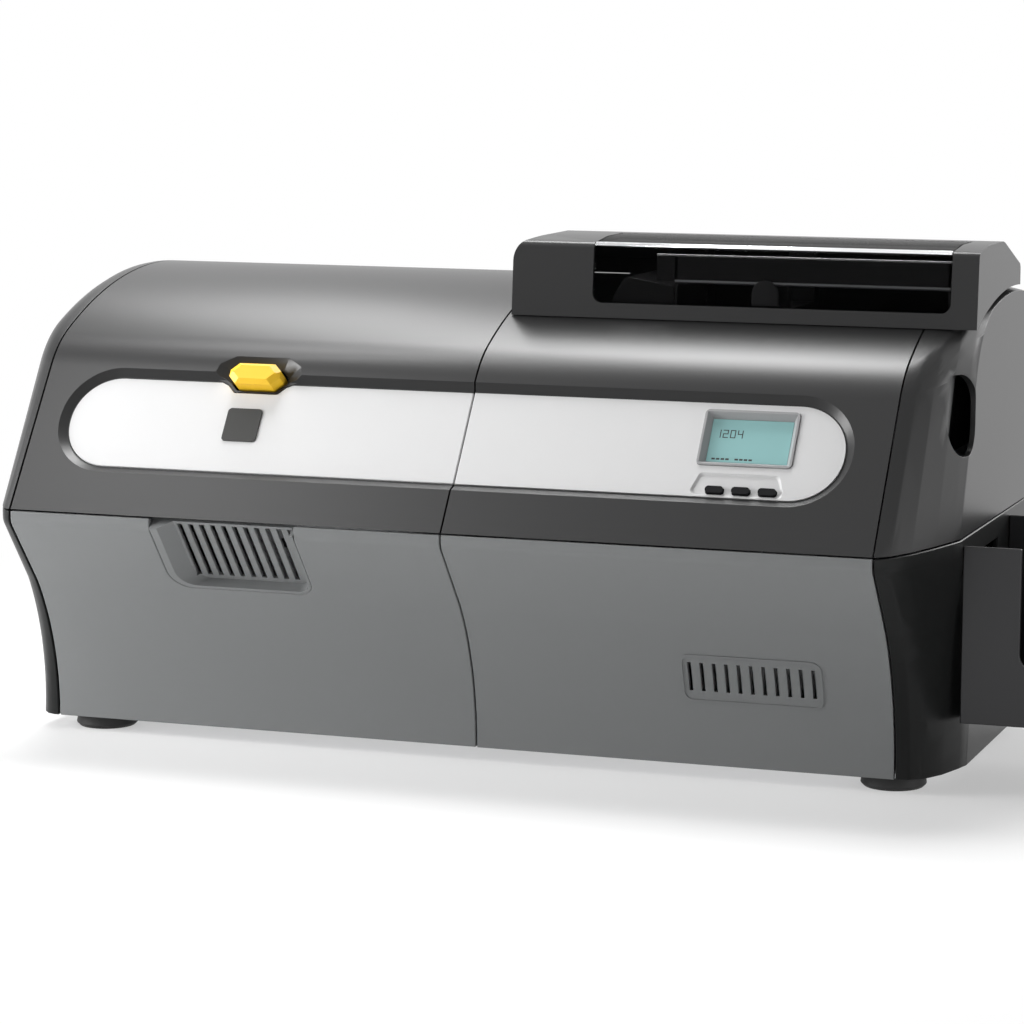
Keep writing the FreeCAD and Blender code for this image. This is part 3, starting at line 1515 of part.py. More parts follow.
def frame_plate(label, y0):
    body = new_body(label)
    y1 = y0 + S.plate_thickness
    low, high = y0 - S.cut_overrun, y1 + S.cut_overrun
    add(body, "XZ", y0, y1, frame_outline())
    bore = S.shaft_radius + S.pin_clearance
    shafts = [("circle", x, ROLLER_HEIGHT, bore) for x in [PLATEN_X] + ROLLER_PLACES]
    shafts.append(("circle", FLIPPER_X, S.path_height, bore))
    shafts.append(("circle", PICK_X, S.pick_height, bore))
    cut(body, "XZ", low, high, *shafts)
    # Open slots from which the ribbon spools lift out.
    slot = S.spool_shaft + S.fit_gap
    for x in (SUPPLY_X, TAKEUP_X):
        cut(body, "XZ", low, high, ("circle", x, S.spool_height, slot))
        cut(body, "XZ", low, high, oblong(x - slot, x + slot, S.spool_height,
                                          S.frame_post_top + S.cut_overrun))
    return body


def card_guide():
    """Level plate under the card path, with a window for each roller."""
    body = new_body("card_guide")
    top = S.path_height - S.guide_drop
    front, back = FRAME_FRONT_IN + S.fit_gap, S.frame_rear - S.fit_gap
    left, right = FLIPPER_X + S.flipper_radius + S.wall, RIGHT_END - S.wall - S.fit_gap
    add(body, "XY", top - S.guide_thickness, top,
        oblong(left, right, CARD_FRONT - S.wall, CARD_REAR + S.wall))
    add(body, "XY", top - S.guide_thickness, top,
        oblong(left, FRAME_RIGHT, front, back))
    half = S.roller_radius + S.guide_drop
    window = cut(body, "XY", top - S.guide_thickness * 2, top + S.guide_thickness,
                 oblong(PLATEN_X - half, PLATEN_X + half,
                        CARD_FRONT - S.guide_drop, CARD_REAR + S.guide_drop))
    repeat_along_x(body, window, S.roller_pitch, as_size(6))
    return body


def roller(label, x, has_gear=False):
    """Rubber roller on a steel shaft, with its belt pulley behind the rear plate."""
    body = new_body(label)
    pulley = FRAME_REAR_OUT + S.shaft_overhang
    end = pulley + S.pulley_width
    if has_gear:
        end = end + S.shaft_overhang + S.gear_width
    add(body, "XZ", -S.frame_front - S.shaft_overhang, end, ("circle", 0, 0, S.shaft_radius))
    add(body, "XZ", CARD_FRONT, CARD_REAR, ("circle", 0, 0, S.roller_radius))
    add(body, "XZ", pulley, pulley + S.pulley_width, ("circle", 0, 0, S.pulley_radius))
    place(body, x, ROLLER_HEIGHT)
    return body


BELT_FRONT = FRAME_REAR_OUT + S.shaft_overhang
GEAR_FRONT = BELT_FRONT + S.pulley_width + S.fit_gap * 2
GEAR_X = ROLLER_PLACES[1]
PINION_Z = ROLLER_HEIGHT - S.gear_radius - S.pinion_radius


def drive_belt():
    body = new_body("drive_belt")
    inner = S.pulley_radius + S.belt_gap
    outer = inner + S.belt_thickness
    left, right = PLATEN_X, ROLLER_PLACES[-1]
    front, back = BELT_FRONT + S.fit_gap, BELT_FRONT + S.pulley_width - S.fit_gap
    add(body, "XZ", front, back,
        oblong(left - outer, right + outer, ROLLER_HEIGHT - outer, ROLLER_HEIGHT + outer,
               outer * 0.98))
    cut(body, "XZ", front - S.cut_overrun, back + S.cut_overrun,
        oblong(left - inner, right + inner, ROLLER_HEIGHT - inner, ROLLER_HEIGHT + inner,
               inner * 0.98))
    return body


def gear(label, x, z, pitch_radius, teeth, bore):
    """Spur gear: tooth gaps cut from a disc, the first gap pointing down."""
    body = new_body(label)
    front, back = GEAR_FRONT, GEAR_FRONT + S.gear_width
    tip, foot_radius = pitch_radius + S.tooth_height * HALF, pitch_radius - S.tooth_height * 0.65
    add(body, "XZ", front, back, ("circle", 0, 0, tip))
    half_pitch = pitch_radius * (math.pi / teeth.value)
    wide, narrow = half_pitch * 0.88, half_pitch * 0.42
    mouth = -tip - S.tooth_height * HALF
    gap = cut(body, "XZ", front - S.cut_overrun, back + S.cut_overrun,
              [(-wide, mouth), (wide, mouth), (narrow, -foot_radius), (-narrow, -foot_radius)])
    repeat_round_y(body, gap, teeth)
    cut(body, "XZ", front - S.cut_overrun, back + S.cut_overrun, ("circle", 0, 0, bore))
    place(body, x, z)
    return body


def drive_motor():
    body = new_body("drive_motor")
    start = GEAR_FRONT + S.gear_width + S.shaft_overhang
    add(body, "XZ", start, start + S.motor_length, ("circle", GEAR_X, PINION_Z, S.motor_radius))
    # Flange plate that bolts the motor to the floor's bracket.
    add(body, "XZ", start, start + S.wall, oblong(
        GEAR_X - S.motor_radius - S.wall, GEAR_X + S.motor_radius + S.wall,
        FLOOR_TOP, PINION_Z))
    return body


# Print station.

def printhead():
    body = new_body("printhead")
    low = S.path_height + S.head_gap
    base = low + S.head_height * 0.4
    half = S.head_width * HALF
    front, back = CARD_FRONT - S.head_front_margin, CARD_REAR + S.head_front_margin
    add(body, "XZ", front, back,
        [(PLATEN_X - half, base), (PLATEN_X - S.wall, low), (PLATEN_X + S.wall, low),
         (PLATEN_X + half, base), (PLATEN_X + half, low + S.head_height),
         (PLATEN_X - half, low + S.head_height)])
    return body


HEAD_TOP = S.path_height + S.head_gap + S.head_height
HEAT_TOP = HEAD_TOP + S.heat_height


def heatsink():
    body = new_body("heatsink")
    half = S.head_width * HALF
    front, back = CARD_FRONT - S.head_front_margin, CARD_REAR + S.head_front_margin
    add(body, "XY", HEAD_TOP, HEAD_TOP + S.heat_base,
        oblong(PLATEN_X - half, PLATEN_X + half, front, back))
    start = PLATEN_X - S.fin_pitch * (S.fin_count - 1) * HALF - S.fin_width * HALF
    fin = add(body, "XY", HEAD_TOP + S.heat_base * HALF, HEAT_TOP,
              oblong(start, start + S.fin_width, front, back))
    repeat_along_x(body, fin, S.fin_pitch, S.fin_count)
    return body


def head_bracket():
    """Carries the print head under the print cover."""
    body = new_body("head_bracket")
    half = S.head_width * HALF
    front, back = CARD_FRONT - S.head_front_margin, CARD_REAR + S.head_front_margin
    plate = S.bracket_plate
    add(body, "XY", HEAT_TOP, HEAT_TOP + plate,
        oblong(PLATEN_X - half, PLATEN_X + half, front, back))
    inset = S.wall + S.fit_gap
    for x in (PLATEN_X - half, PLATEN_X + half - plate):
        add(body, "YZ", x, x + plate,
            [(front, HEAT_TOP + plate * HALF), (back, HEAT_TOP + plate * HALF),
             (back, crest(back, inset)), Bow(S.crest_radius - inset, -1),
             (front, crest(front, inset))])
    return body


def spool(label, x, ribbon_radius):
    """Ribbon spool: shaft, two flanges, and the ribbon wound on its core."""
    body = new_body(label)
    front = CARD_FRONT - S.head_front_margin
    back = CARD_REAR + S.head_front_margin
    add(body, "XZ", -S.frame_front - S.shaft_overhang, FRAME_REAR_OUT + S.shaft_overhang,
        ("circle", 0, 0, S.spool_shaft))
    add(body, "XZ", front, back, ("circle", 0, 0, ribbon_radius))
    for y0 in (front - S.spool_flange_width, back):
        add(body, "XZ", y0, y0 + S.spool_flange_width, ("circle", 0, 0, S.spool_flange))
    place(body, x, S.spool_height)
    return body


def flipper():
    """Turning card holder at the left end: two discs joined by slotted bars."""
    body = new_body("flipper_drum")
    front = CARD_FRONT - S.wall - S.flipper_disc
    back = CARD_REAR + S.wall
    for y0 in (front, back):
        add(body, "XZ", y0, y0 + S.flipper_disc, ("circle", 0, 0, S.flipper_radius))
    half = S.flipper_radius * 0.96
    for side in (1, -1):
        near, far = S.flipper_slot * (side * HALF), (S.flipper_slot * HALF
                                                     + S.flipper_bar) * side
        low, high = (near, far) if side > 0 else (far, near)
        add(body, "XZ", front, back + S.flipper_disc,
            oblong(-half, half, low, high))
    bars = S.flipper_radius
    for y0, y1 in ((-S.frame_front - S.shaft_overhang, front + S.flipper_disc),
                   (back, FRAME_REAR_OUT + S.shaft_overhang)):
        add(body, "XZ", y0, y1, ("circle", 0, 0, S.shaft_radius))
    # The card's slot stays open from end to end.
    cut(body, "XZ", front + S.flipper_disc, back,
        oblong(-bars, bars, -S.flipper_slot * HALF, S.flipper_slot * HALF))
    place(body, FLIPPER_X, S.path_height)
    return body


# Feeder.

def card_bin():
    body = new_body("card_bin")
    wall = S.bin_wall
    x0, x1 = BIN_LEFT - wall, BIN_RIGHT + wall
    y0 = CARD_FRONT - S.bin_side_gap - wall
    y1 = CARD_REAR + S.bin_side_gap + wall
    add(body, "XY", S.bin_floor, BIN_TOP, oblong(x0, x1, y0, y1))
    # Flanges that rest on the frame plates.
    add(body, "XY", S.frame_feed_top, S.frame_feed_top + S.bin_flange,
        oblong(x0, x1, -S.frame_front, FRAME_REAR_OUT))
    # Ears that hold the pusher's rail.
    for x in (x0, BIN_RIGHT):
        add(body, "YZ", x, x + wall, oblong(
            y1 - wall, S.rail_behind + S.rail_radius + wall,
            S.frame_feed_top, RAIL_Z + S.rail_radius + wall, wall))
    cut(body, "XY", S.bin_floor + wall, BIN_TOP + S.cut_overrun,
        oblong(BIN_LEFT, BIN_RIGHT, y0 + wall, y1 - wall))
    # The mouth over the chute, and the window for the pick roller.
    cut(body, "XY", S.bin_floor - S.cut_overrun, S.bin_floor + wall + S.cut_overrun,
        oblong(BIN_LEFT, BIN_LEFT + wall, CARD_FRONT, CARD_REAR))
    cut(body, "YZ", x0 - S.cut_overrun, BIN_LEFT + S.cut_overrun,
        oblong(S.path_middle - S.pick_radius, S.path_middle + S.pick_radius,
               S.pick_height - S.pick_window, S.pick_height + S.pick_window))
    cut(body, "YZ", x0 - S.cut_overrun, x1 + S.cut_overrun,
        ("circle", S.rail_behind, RAIL_Z, S.rail_radius + S.pin_clearance))
    return body


def pick_roller():
    body = new_body("pick_roller")
    half = S.pick_radius * 0.85
    add(body, "XZ", -S.frame_front - S.shaft_overhang, FRAME_REAR_OUT + S.shaft_overhang,
        ("circle", 0, 0, S.shaft_radius))
    add(body, "XZ", S.path_middle - half, S.path_middle + half,
        ("circle", 0, 0, S.pick_radius))
    place(body, PICK_X, S.pick_height)
    return body


def pick_cover():
    """Housing over the pick roller, between the feeder and the frame."""
    body = new_body("pick_cover")
    wall = S.bin_wall
    right = BIN_LEFT - wall - S.fit_gap
    left = right - S.pick_cover_length
    front, back = CARD_FRONT - S.bin_side_gap - wall, CARD_REAR + S.bin_side_gap + wall
    low = S.pick_height + S.pick_radius + S.fit_gap * 2
    add(body, "XZ", front, back, [
        (left, low), (right, low), (right, PICK_COVER_TOP - wall * 2, wall),
        (left + wall * 3, PICK_COVER_TOP, wall * 2), (left, PICK_COVER_TOP - wall * 5, wall)])
    cut(body, "XZ", front + wall, back - wall, [
        (left + wall, low - S.cut_overrun), (right - wall, low - S.cut_overrun),
        (right - wall, PICK_COVER_TOP - wall * 4), (left + wall * 3, PICK_COVER_TOP - wall * 4),
        (left + wall, PICK_COVER_TOP - wall * 7)])
    # Feet that stand on the two frame plates.
    for y0, y1 in ((-S.frame_front, front + wall * HALF), (back - wall * HALF, FRAME_REAR_OUT)):
        add(body, "XY", low, low + wall, oblong(left, right, y0, y1))
        far = y0 if y0.value < 0 else y1 - S.plate_thickness
        add(body, "XY", S.frame_feed_top, low + wall * HALF,
            oblong(left, right, far, far + S.plate_thickness))
    return body


def feed_chute():
    """Curved channel that turns a card from upright to level."""
    body = new_body("feed_chute")
    x, z = BIN_LEFT + S.chute_gap - S.chute_radius, S.path_height + S.chute_radius
    inner, outer = S.chute_radius - S.chute_wall, S.chute_radius + S.chute_wall
    turn = S.chute_sweep

    def sector(low, high):
        return [(x + low, z), (x + high, z), Bow(high, 1),
                (x + high * cosine(turn), z - high * sine(turn)),
                (x + low * cosine(turn), z - low * sine(turn)), Bow(low, -1)]
    add(body, "XZ", FRAME_FRONT_IN + S.fit_gap, S.frame_rear - S.fit_gap, sector(inner, outer))
    cut(body, "XZ", CARD_FRONT - S.bin_side_gap * HALF, CARD_REAR + S.bin_side_gap * HALF,
        sector(S.chute_radius - S.chute_gap, S.chute_radius + S.chute_gap))
    return body


def pusher_rail():
    body = new_body("pusher_rail")
    add(body, "YZ", BIN_LEFT - S.bin_wall, BIN_RIGHT + S.bin_wall,
        ("circle", S.rail_behind, RAIL_Z, S.rail_radius))
    return body


def card_pusher():
    """Weighted pusher that leans on the cards and slides on its rail."""
    body = new_body("card_pusher")
    left = BIN_LEFT + S.pusher_place
    right = left + S.pusher_length
    plate = S.pusher_plate
    low = S.bin_floor + S.bin_wall + S.fit_gap * 2
    arm, thick = PUSHER_ARM, S.pusher_arm_thickness
    front, back = CARD_FRONT + S.bin_side_gap, CARD_REAR - S.bin_side_gap
    add(body, "YZ", left, left + plate, oblong(front, back, low, arm + thick))
    add(body, "XY", arm, arm + thick, oblong(left, right, front, S.rail_behind + thick))
    # The round-topped tab at the front, for the finger.
    top = PUSHER_TOP
    add(body, "XZ", front, front + plate,
        [(left, arm), (right, arm), (right, top, S.pusher_length * 0.48),
         (left, top, S.pusher_length * 0.48)])
    # The carriage round the rail.
    reach = S.rail_radius + thick * HALF
    add(body, "YZ", left, right, oblong(
        S.rail_behind - reach, S.rail_behind + reach, arm, RAIL_Z + reach, thick * HALF))
    cut(body, "YZ", left - S.cut_overrun, right + S.cut_overrun,
        ("circle", S.rail_behind, RAIL_Z, S.rail_radius + S.pin_clearance))
    return body


# Hopper and reject bin.

def output_hopper():
    body = new_body("output_hopper")
    wall = S.hopper_wall
    left, right = RIGHT_END, RIGHT_END + S.hopper_reach
    front, back = -S.hopper_front, S.hopper_rear
    low, high = S.hopper_low, S.hopper_high
    foot_right = right - S.hopper_foot
    add(body, "XZ", front, back, [(left, low), (foot_right, low, wall * 3),
                                  (right, high), (left, high)])
    cut(body, "XZ", front + wall, back - wall,
        [(left - S.cut_overrun, low + wall), (foot_right - wall, low + wall, wall * 2),
         (right - wall * 1.2, high + S.cut_overrun), (left - S.cut_overrun,
                                                    high + S.cut_overrun)])
    # Finger cut-out in the front wall.
    middle = (left + right) * HALF
    cut(body, "XZ", front - S.cut_overrun, front + wall + S.cut_overrun,
        [(middle - S.hopper_grip * HALF, high - S.hopper_grip_depth, wall * 4),
         (middle + S.hopper_grip * HALF, high - S.hopper_grip_depth, wall * 4),
         (middle + S.hopper_grip * HALF, high + S.cut_overrun),
         (middle - S.hopper_grip * HALF, high + S.cut_overrun)])
    return body


def reject_bin():
    body = new_body("reject_bin")
    wall = S.reject_wall
    left, right = LEFT_END, LEFT_END + S.reject_length
    front, back = -S.reject_front, S.reject_rear
    add(body, "XY", S.reject_low, S.reject_high, oblong(left, right, front, back))
    cut(body, "XY", S.reject_low + wall, S.reject_high + S.cut_overrun,
        oblong(left + wall * 2, right - wall, front + wall, back - wall))
    # Finger scoop in the face.
    middle = (front + back) * HALF
    cut(body, "YZ", left - S.cut_overrun, left + wall,
        oblong(middle - S.reject_front * HALF, middle + S.reject_front * HALF,
               S.reject_high - S.reject_front, S.reject_high + S.cut_overrun, wall))
    return body


# Rear side, power and electronics.

def socket_places():
    x = MIDDLE + S.inlet_place
    return x, MIDDLE + S.switch_place


def rear_panel():
    body = new_body("rear_panel")
    left, right = LEFT_SEAM + HALF_GAP, RIGHT_SEAM - HALF_GAP
    y0, y1 = REAR - S.wall, REAR
    low, high = y0 - S.cut_overrun, y1 + S.cut_overrun
    add(body, "XZ", y0, y1, oblong(left, right, S.base_height,
                                   S.rear_edge_height - S.seam_gap))
    inlet, switch = socket_places()
    level, gap = S.socket_height_level, S.window_gap
    cut(body, "XZ", low, high,
        oblong(inlet - S.inlet_width * HALF - gap, inlet + S.inlet_width * HALF + gap,
               level - S.inlet_height * HALF - gap, level + S.inlet_height * HALF + gap),
        switch_collar(gap),
        ("circle", MIDDLE + S.fan_place, S.fan_level, S.fan_bore))
    # Cross bars that guard the fan.
    for share in (-HALF, 0, HALF):
        z = S.fan_level + S.fan_bore * share
        add(body, "XZ", y0, y1, oblong(
            MIDDLE + S.fan_place - S.fan_bore - S.wall, MIDDLE + S.fan_place + S.fan_bore
            + S.wall, z - S.wall * HALF, z + S.wall * HALF))
    for number in range(3):
        x = port_place(number)
        cut(body, "XZ", low, high, oblong(
            x - S.port_width * HALF - gap, x + S.port_width * HALF + gap,
            S.main_board_low + S.wall - gap, S.main_board_low + S.wall + S.port_height + gap))
    vent = cut(body, "XZ", low, high, oblong(
        MIDDLE - S.vent_first, MIDDLE - S.vent_first + S.vent_width, S.vent_low, S.vent_high))
    repeat_along_x(body, vent, S.vent_pitch, S.vent_count)
    holes = [("circle", x, z, S.screw_radius + S.fit_gap) for x, z in screw_places()]
    cut(body, "XZ", low, high, *holes)
    return body


def switch_collar(grow):
    """Outline of the collar round the rocker switch, seen from the front."""
    x, level = MIDDLE + S.switch_place, S.socket_height_level
    half, tall = S.switch_width * HALF + S.switch_collar, (
        S.switch_height * HALF + S.switch_collar)
    grow = as_size(grow)
    return oblong(x - half - grow, x + half + grow, level - tall - grow, level + tall + grow)


def screw_places():
    x0, x1 = LEFT_SEAM + S.screw_inset, RIGHT_SEAM - S.screw_inset
    z0, z1 = S.base_height + S.screw_inset, S.rear_edge_height - S.screw_inset
    return [(x0, z0), (x1, z0), (x0, z1), (x1, z1)]


def rear_screws():
    """Screws of the rear panel, with round heads on its outside."""
    screws = []
    for number, (x, z) in enumerate(screw_places(), start=1):
        body = new_body("rear_screw_%d" % number)
        add(body, "XZ", REAR - S.screw_length, REAR, ("circle", x, z, S.screw_radius))
        screws.append(body)
    return gather("rear_screws", screws)


def port_place(number):
    return MIDDLE - S.main_board_left + S.port_pitch * (number + HALF) + S.wall * 3


def main_board():
    """Control board on the rear side, with its connectors in the rear panel."""
    body = new_body("main_board")
    y = REAR - S.wall - S.board_standoff
    left = MIDDLE - S.main_board_left
    add(body, "XZ", y, y + S.board_thickness, oblong(
        left, left + S.main_board_length, S.main_board_low,
        S.main_board_low + S.main_board_height))
    for number in range(3):
        x = port_place(number)
        add(body, "XZ", y + S.board_thickness * HALF, REAR - S.wall * HALF, oblong(
            x - S.port_width * HALF, x + S.port_width * HALF,
            S.main_board_low + S.wall, S.main_board_low + S.wall + S.port_height))
    rim = S.board_thickness
    for number in range(3):
        x = port_place(number)
        cut(body, "XZ", REAR - S.wall * 4, REAR, oblong(
            x - S.port_width * HALF + rim, x + S.port_width * HALF - rim,
            S.main_board_low + S.wall + rim, S.main_board_low + S.wall + S.port_height - rim))
    # Standoffs reach the inside of the rear panel.
    for x in (left + S.wall * 2, left + S.main_board_length - S.wall * 2):
        add(body, "XZ", y + S.board_thickness * HALF, REAR - S.wall - S.fit_gap * HALF,
            ("circle", x, S.main_board_low + S.main_board_height - S.wall * 2, S.wall))
    return body


def power_supply():
    body = new_body("power_supply")
    right = FRAME_RIGHT - S.wall
    y0 = FRAME_REAR_OUT + S.wall
    add(body, "XY", FLOOR_TOP, FLOOR_TOP + S.supply_height, oblong(
        right - S.supply_length, right, y0, y0 + S.supply_depth))
    return body


def power_inlet():
    """Mains socket with three pins, and the collar of the power switch beside it."""
    body = new_body("power_inlet")
    x, level = MIDDLE + S.inlet_place, S.socket_height_level
    half, tall = S.inlet_width * HALF, S.inlet_height * HALF
    inside = REAR - S.wall - S.fit_gap
    switch_side = MIDDLE + S.switch_place - S.switch_width * HALF - S.switch_collar
    add(body, "XZ", REAR - S.inlet_depth, REAR - S.fit_gap,
        oblong(x - half, x + half, level - tall, level + tall))
    add(body, "XZ", REAR - S.inlet_depth * 0.8, REAR - S.fit_gap, switch_collar(0))
    add(body, "XZ", inside - S.wall, inside, oblong(
        switch_side - S.inlet_flange, x + half + S.inlet_flange,
        level - tall - S.inlet_flange, level + tall + S.inlet_flange))
    cut(body, "XZ", REAR - S.inlet_depth + S.wall * 2, REAR + S.cut_overrun,
        [(x - half + S.wall, level - tall + S.wall), (x + half - S.wall, level - tall + S.wall),
         (x + half - S.wall, level + tall * 0.3), (x + half * HALF, level + tall - S.wall),
         (x - half * HALF, level + tall - S.wall), (x - half + S.wall, level + tall * 0.3)])
    cut(body, "XZ", REAR - S.inlet_depth * 0.8 - S.cut_overrun, REAR + S.cut_overrun,
        switch_collar(-S.switch_collar))
    for across, up in ((-HALF, -0.2), (0, 0.25), (HALF, -0.2)):
        pin_x, pin_z = x + half * across, level + tall * up
        add(body, "XZ", REAR - S.inlet_depth + S.wall, REAR - S.wall, oblong(
            pin_x - S.wall * 0.3, pin_x + S.wall * 0.3, pin_z - S.wall * 0.6,
            pin_z + S.wall * 0.6))
    # The pin on which the rocker tilts.
    middle = MIDDLE + S.switch_place
    reach = S.switch_width * HALF + S.switch_collar * HALF
    add(body, "YZ", middle - reach, middle + reach,
        ("circle", REAR - S.wall * 2, level, S.switch_pivot))
    return body


def rocker_switch():
    """Power switch rocker, drawn round its own pin and tilted to its off place."""
    body = new_body("rocker_switch")
    half, tall = S.switch_width * HALF - S.fit_gap, S.switch_height * 0.45
    back = -S.switch_depth * HALF
    add(body, "YZ", -half, half, [(back, -tall * HALF), (S.switch_face, -tall),
                                  (S.switch_face, tall), (back, tall * HALF)])
    cut(body, "YZ", -half - S.cut_overrun, half + S.cut_overrun,
        ("circle", 0, 0, S.switch_pivot + S.pin_clearance))
    x = MIDDLE + S.switch_place
    body.Placement.Rotation = FreeCAD.Rotation(V(1, 0, 0), S.switch_tilt.value)
    body.setExpression("Placement.Rotation.Angle", S.switch_tilt.text)
    body.setExpression("Placement.Base.x", x.text)
    body.setExpression("Placement.Base.y", (REAR - S.wall * 2).text)
    body.setExpression("Placement.Base.z", S.socket_height_level.text)
    return body


def fan_frame():
    body = new_body("fan_frame")
    x, z = MIDDLE + S.fan_place, S.fan_level
    half = S.fan_side * HALF
    back = REAR - S.wall - S.fit_gap
    front = back - S.fan_depth
    add(body, "XZ", front, back, oblong(x - half, x + half, z - half, z + half, S.wall))
    cut(body, "XZ", front + S.board_thickness, back + S.cut_overrun,
        ("circle", x, z, S.fan_bore))
    # Three spokes carry the motor stud in the middle.
    cut(body, "XZ", front - S.cut_overrun, front + S.wall,
        oblong(x - half * 0.7, x + half * 0.7, z + S.wall, z + half * 0.7),
        oblong(x - half * 0.7, x + half * 0.7, z - half * 0.7, z - S.wall))
    add(body, "XZ", front + S.board_thickness * HALF, back - S.wall * 2,
        ("circle", x, z, S.shaft_radius))
    return body


def fan_rotor():
    body = new_body("fan_rotor")
    back = REAR - S.wall - S.fit_gap - S.wall
    front = REAR - S.wall - S.fit_gap - S.fan_depth + S.board_thickness + S.wall
    tip = S.fan_bore - S.fan_tip_gap
    add(body, "XZ", front, back, ("circle", 0, 0, S.fan_hub))
    blade = add(body, "XZ", front + S.fit_gap, back - S.fit_gap,
                oblong(-S.fan_blade * HALF, S.fan_blade * HALF, S.fan_hub * 0.8, tip))
    repeat_round_y(body, blade, S.fan_blades)
    cut(body, "XZ", front - S.cut_overrun, back - S.wall * HALF,
        ("circle", 0, 0, S.shaft_radius + S.pin_clearance))
    place(body, MIDDLE + S.fan_place, S.fan_level)
    return body


FOOT_LEFT = LEFT_END + S.foot_end_inset
FOOT_RIGHT = RIGHT_END - S.foot_end_inset
FOOT_FRONT = FRONT + S.base_setback + S.foot_front_behind
FOOT_REAR = REAR - S.foot_rear_inset

subparts = [
    base_tray(), lower_panel_left(), lower_panel_right(), vent_grille(),
    left_end_lower(), left_end_upper(),
    right_end_lower(), right_end_upper(),
    print_cover(), rear_top_cover(), upper_cover_right(), rear_panel(), rear_screws(),
    hinge_pins(),
    strip_left(), strip_right(), lcd_bezel(), lcd_glass(), display_board(),
    soft_key(0), soft_key(1), soft_key(2), badge_plate(), latch_button(),
    feeder_lid(), feeder_window(),
    frame_plate("frame_plate_front", -S.frame_front),
    frame_plate("frame_plate_rear", S.frame_rear),
    card_guide(), roller("platen_roller", PLATEN_X), drive_belt(), drive_motor(),
    gear("drive_gear", GEAR_X, ROLLER_HEIGHT, S.gear_radius, S.gear_teeth, S.shaft_radius),
    gear("motor_pinion", GEAR_X, PINION_Z, S.pinion_radius, S.pinion_teeth,
         S.motor_shaft_radius),
    printhead(), heatsink(), head_bracket(),
    spool("supply_spool", SUPPLY_X, S.ribbon_full), spool("takeup_spool", TAKEUP_X,
                                                          S.ribbon_used),
    flipper(), card_bin(), pick_roller(), pick_cover(), feed_chute(), pusher_rail(),
    card_pusher(), output_hopper(), reject_bin(), main_board(), power_supply(),
    power_inlet(), rocker_switch(), fan_frame(), fan_rotor(),
]
subparts += [roller("transport_roller_%d" % number, x, number == 2)
             for number, x in enumerate(ROLLER_PLACES, start=1)]
subparts.append(gather("rubber_feet", [
    foot("foot_%d_%d" % (side, end), x, y)
    for side, x in enumerate((FOOT_LEFT, FOOT_RIGHT), start=1)
    for end, y in enumerate((FOOT_FRONT, FOOT_REAR), start=1)]))

doc.recompute()

faults = ["%s: %s" % (item.Name, item.State) for item in doc.Objects
          if "Invalid" in item.State or "Error" in item.State]
for part in subparts:
    if part.Shape.isNull() or not part.Shape.isValid() or not part.Shape.Solids:
        faults.append("%s has no sound shape" % part.Label)
if faults:
    raise RuntimeError("; ".join(faults))

os.makedirs("parts", exist_ok=True)
for part in subparts:
    part.Shape.exportStep(os.path.join("parts", part.Label + ".step"))
print("%d sub-parts, %d solids" % (len(subparts), sum(len(p.Shape.Solids) for p in subparts)))
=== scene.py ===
"""Studio picture of a desktop card printer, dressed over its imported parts.

Metres. +X runs along the printer to the output hopper, -Y is the display side and +Z
is up. The tilted face that carries the silver strip has its own measures: along is X
from the middle seam, up is the distance up the slope from the strip's lower edge, and
out is the distance in front of the cover's skin.
"""
import json
import math

import bmesh
import bpy
import numpy as np
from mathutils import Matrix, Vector


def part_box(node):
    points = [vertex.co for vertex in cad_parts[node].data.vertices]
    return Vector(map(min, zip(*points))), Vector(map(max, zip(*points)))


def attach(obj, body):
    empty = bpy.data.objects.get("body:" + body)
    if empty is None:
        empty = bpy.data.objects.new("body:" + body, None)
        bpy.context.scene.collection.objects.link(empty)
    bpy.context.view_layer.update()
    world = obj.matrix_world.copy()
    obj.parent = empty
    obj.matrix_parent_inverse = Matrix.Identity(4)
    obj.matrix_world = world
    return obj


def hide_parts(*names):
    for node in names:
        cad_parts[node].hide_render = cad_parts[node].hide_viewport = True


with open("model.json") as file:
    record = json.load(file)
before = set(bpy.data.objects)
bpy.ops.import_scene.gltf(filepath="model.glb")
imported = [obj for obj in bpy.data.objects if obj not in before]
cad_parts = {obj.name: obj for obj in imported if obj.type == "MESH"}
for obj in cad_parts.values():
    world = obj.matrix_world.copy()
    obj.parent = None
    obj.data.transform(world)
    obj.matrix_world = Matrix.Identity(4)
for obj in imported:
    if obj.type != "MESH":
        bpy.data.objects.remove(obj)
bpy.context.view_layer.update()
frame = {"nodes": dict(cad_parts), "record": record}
nodes = frame["nodes"]
bodies = frame["record"]["behaviour"]["bodies"]
body_of_node = {node: body for body, members in bodies.items() for node in members}
MM = 0.001


# Places taken from the frame.

def low(node):
    """Lowest corner of a part."""
    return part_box(node)[0]


def high(node):
    """Highest corner of a part."""
    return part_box(node)[1]


MIDDLE_SEAM = (low("strip_right").x + high("strip_left").x) / 2
BELT = (high("lower_panel_left").z + low("print_cover").z) / 2
FRONT = low("lower_panel_left").y

# The tilted face leans back from upright by FACE_TILT, and the strip starts above the
# belt by STRIP_RISE, measured up the slope.
FACE_TILT = math.radians(35.3)
STRIP_RISE = 34.1 * MM
FACE_UP = np.array([0.0, math.sin(FACE_TILT), math.cos(FACE_TILT)])
FACE_OUT = np.array([0.0, -math.cos(FACE_TILT), math.sin(FACE_TILT)])
FACE_START = np.array([MIDDLE_SEAM, FRONT, BELT]) + STRIP_RISE * FACE_UP


def on_face(along, up, out):
    """Points of the tilted face: start + along on X + up the slope + out from it."""
    along, up, out = np.broadcast_arrays(along, up, out)
    points = FACE_START + up[..., None] * FACE_UP + out[..., None] * FACE_OUT
    points[..., 0] += along
    return points


# Meshes.

CREASE = math.radians(30)  # sharper edges of the pieces made here are shaded as edges


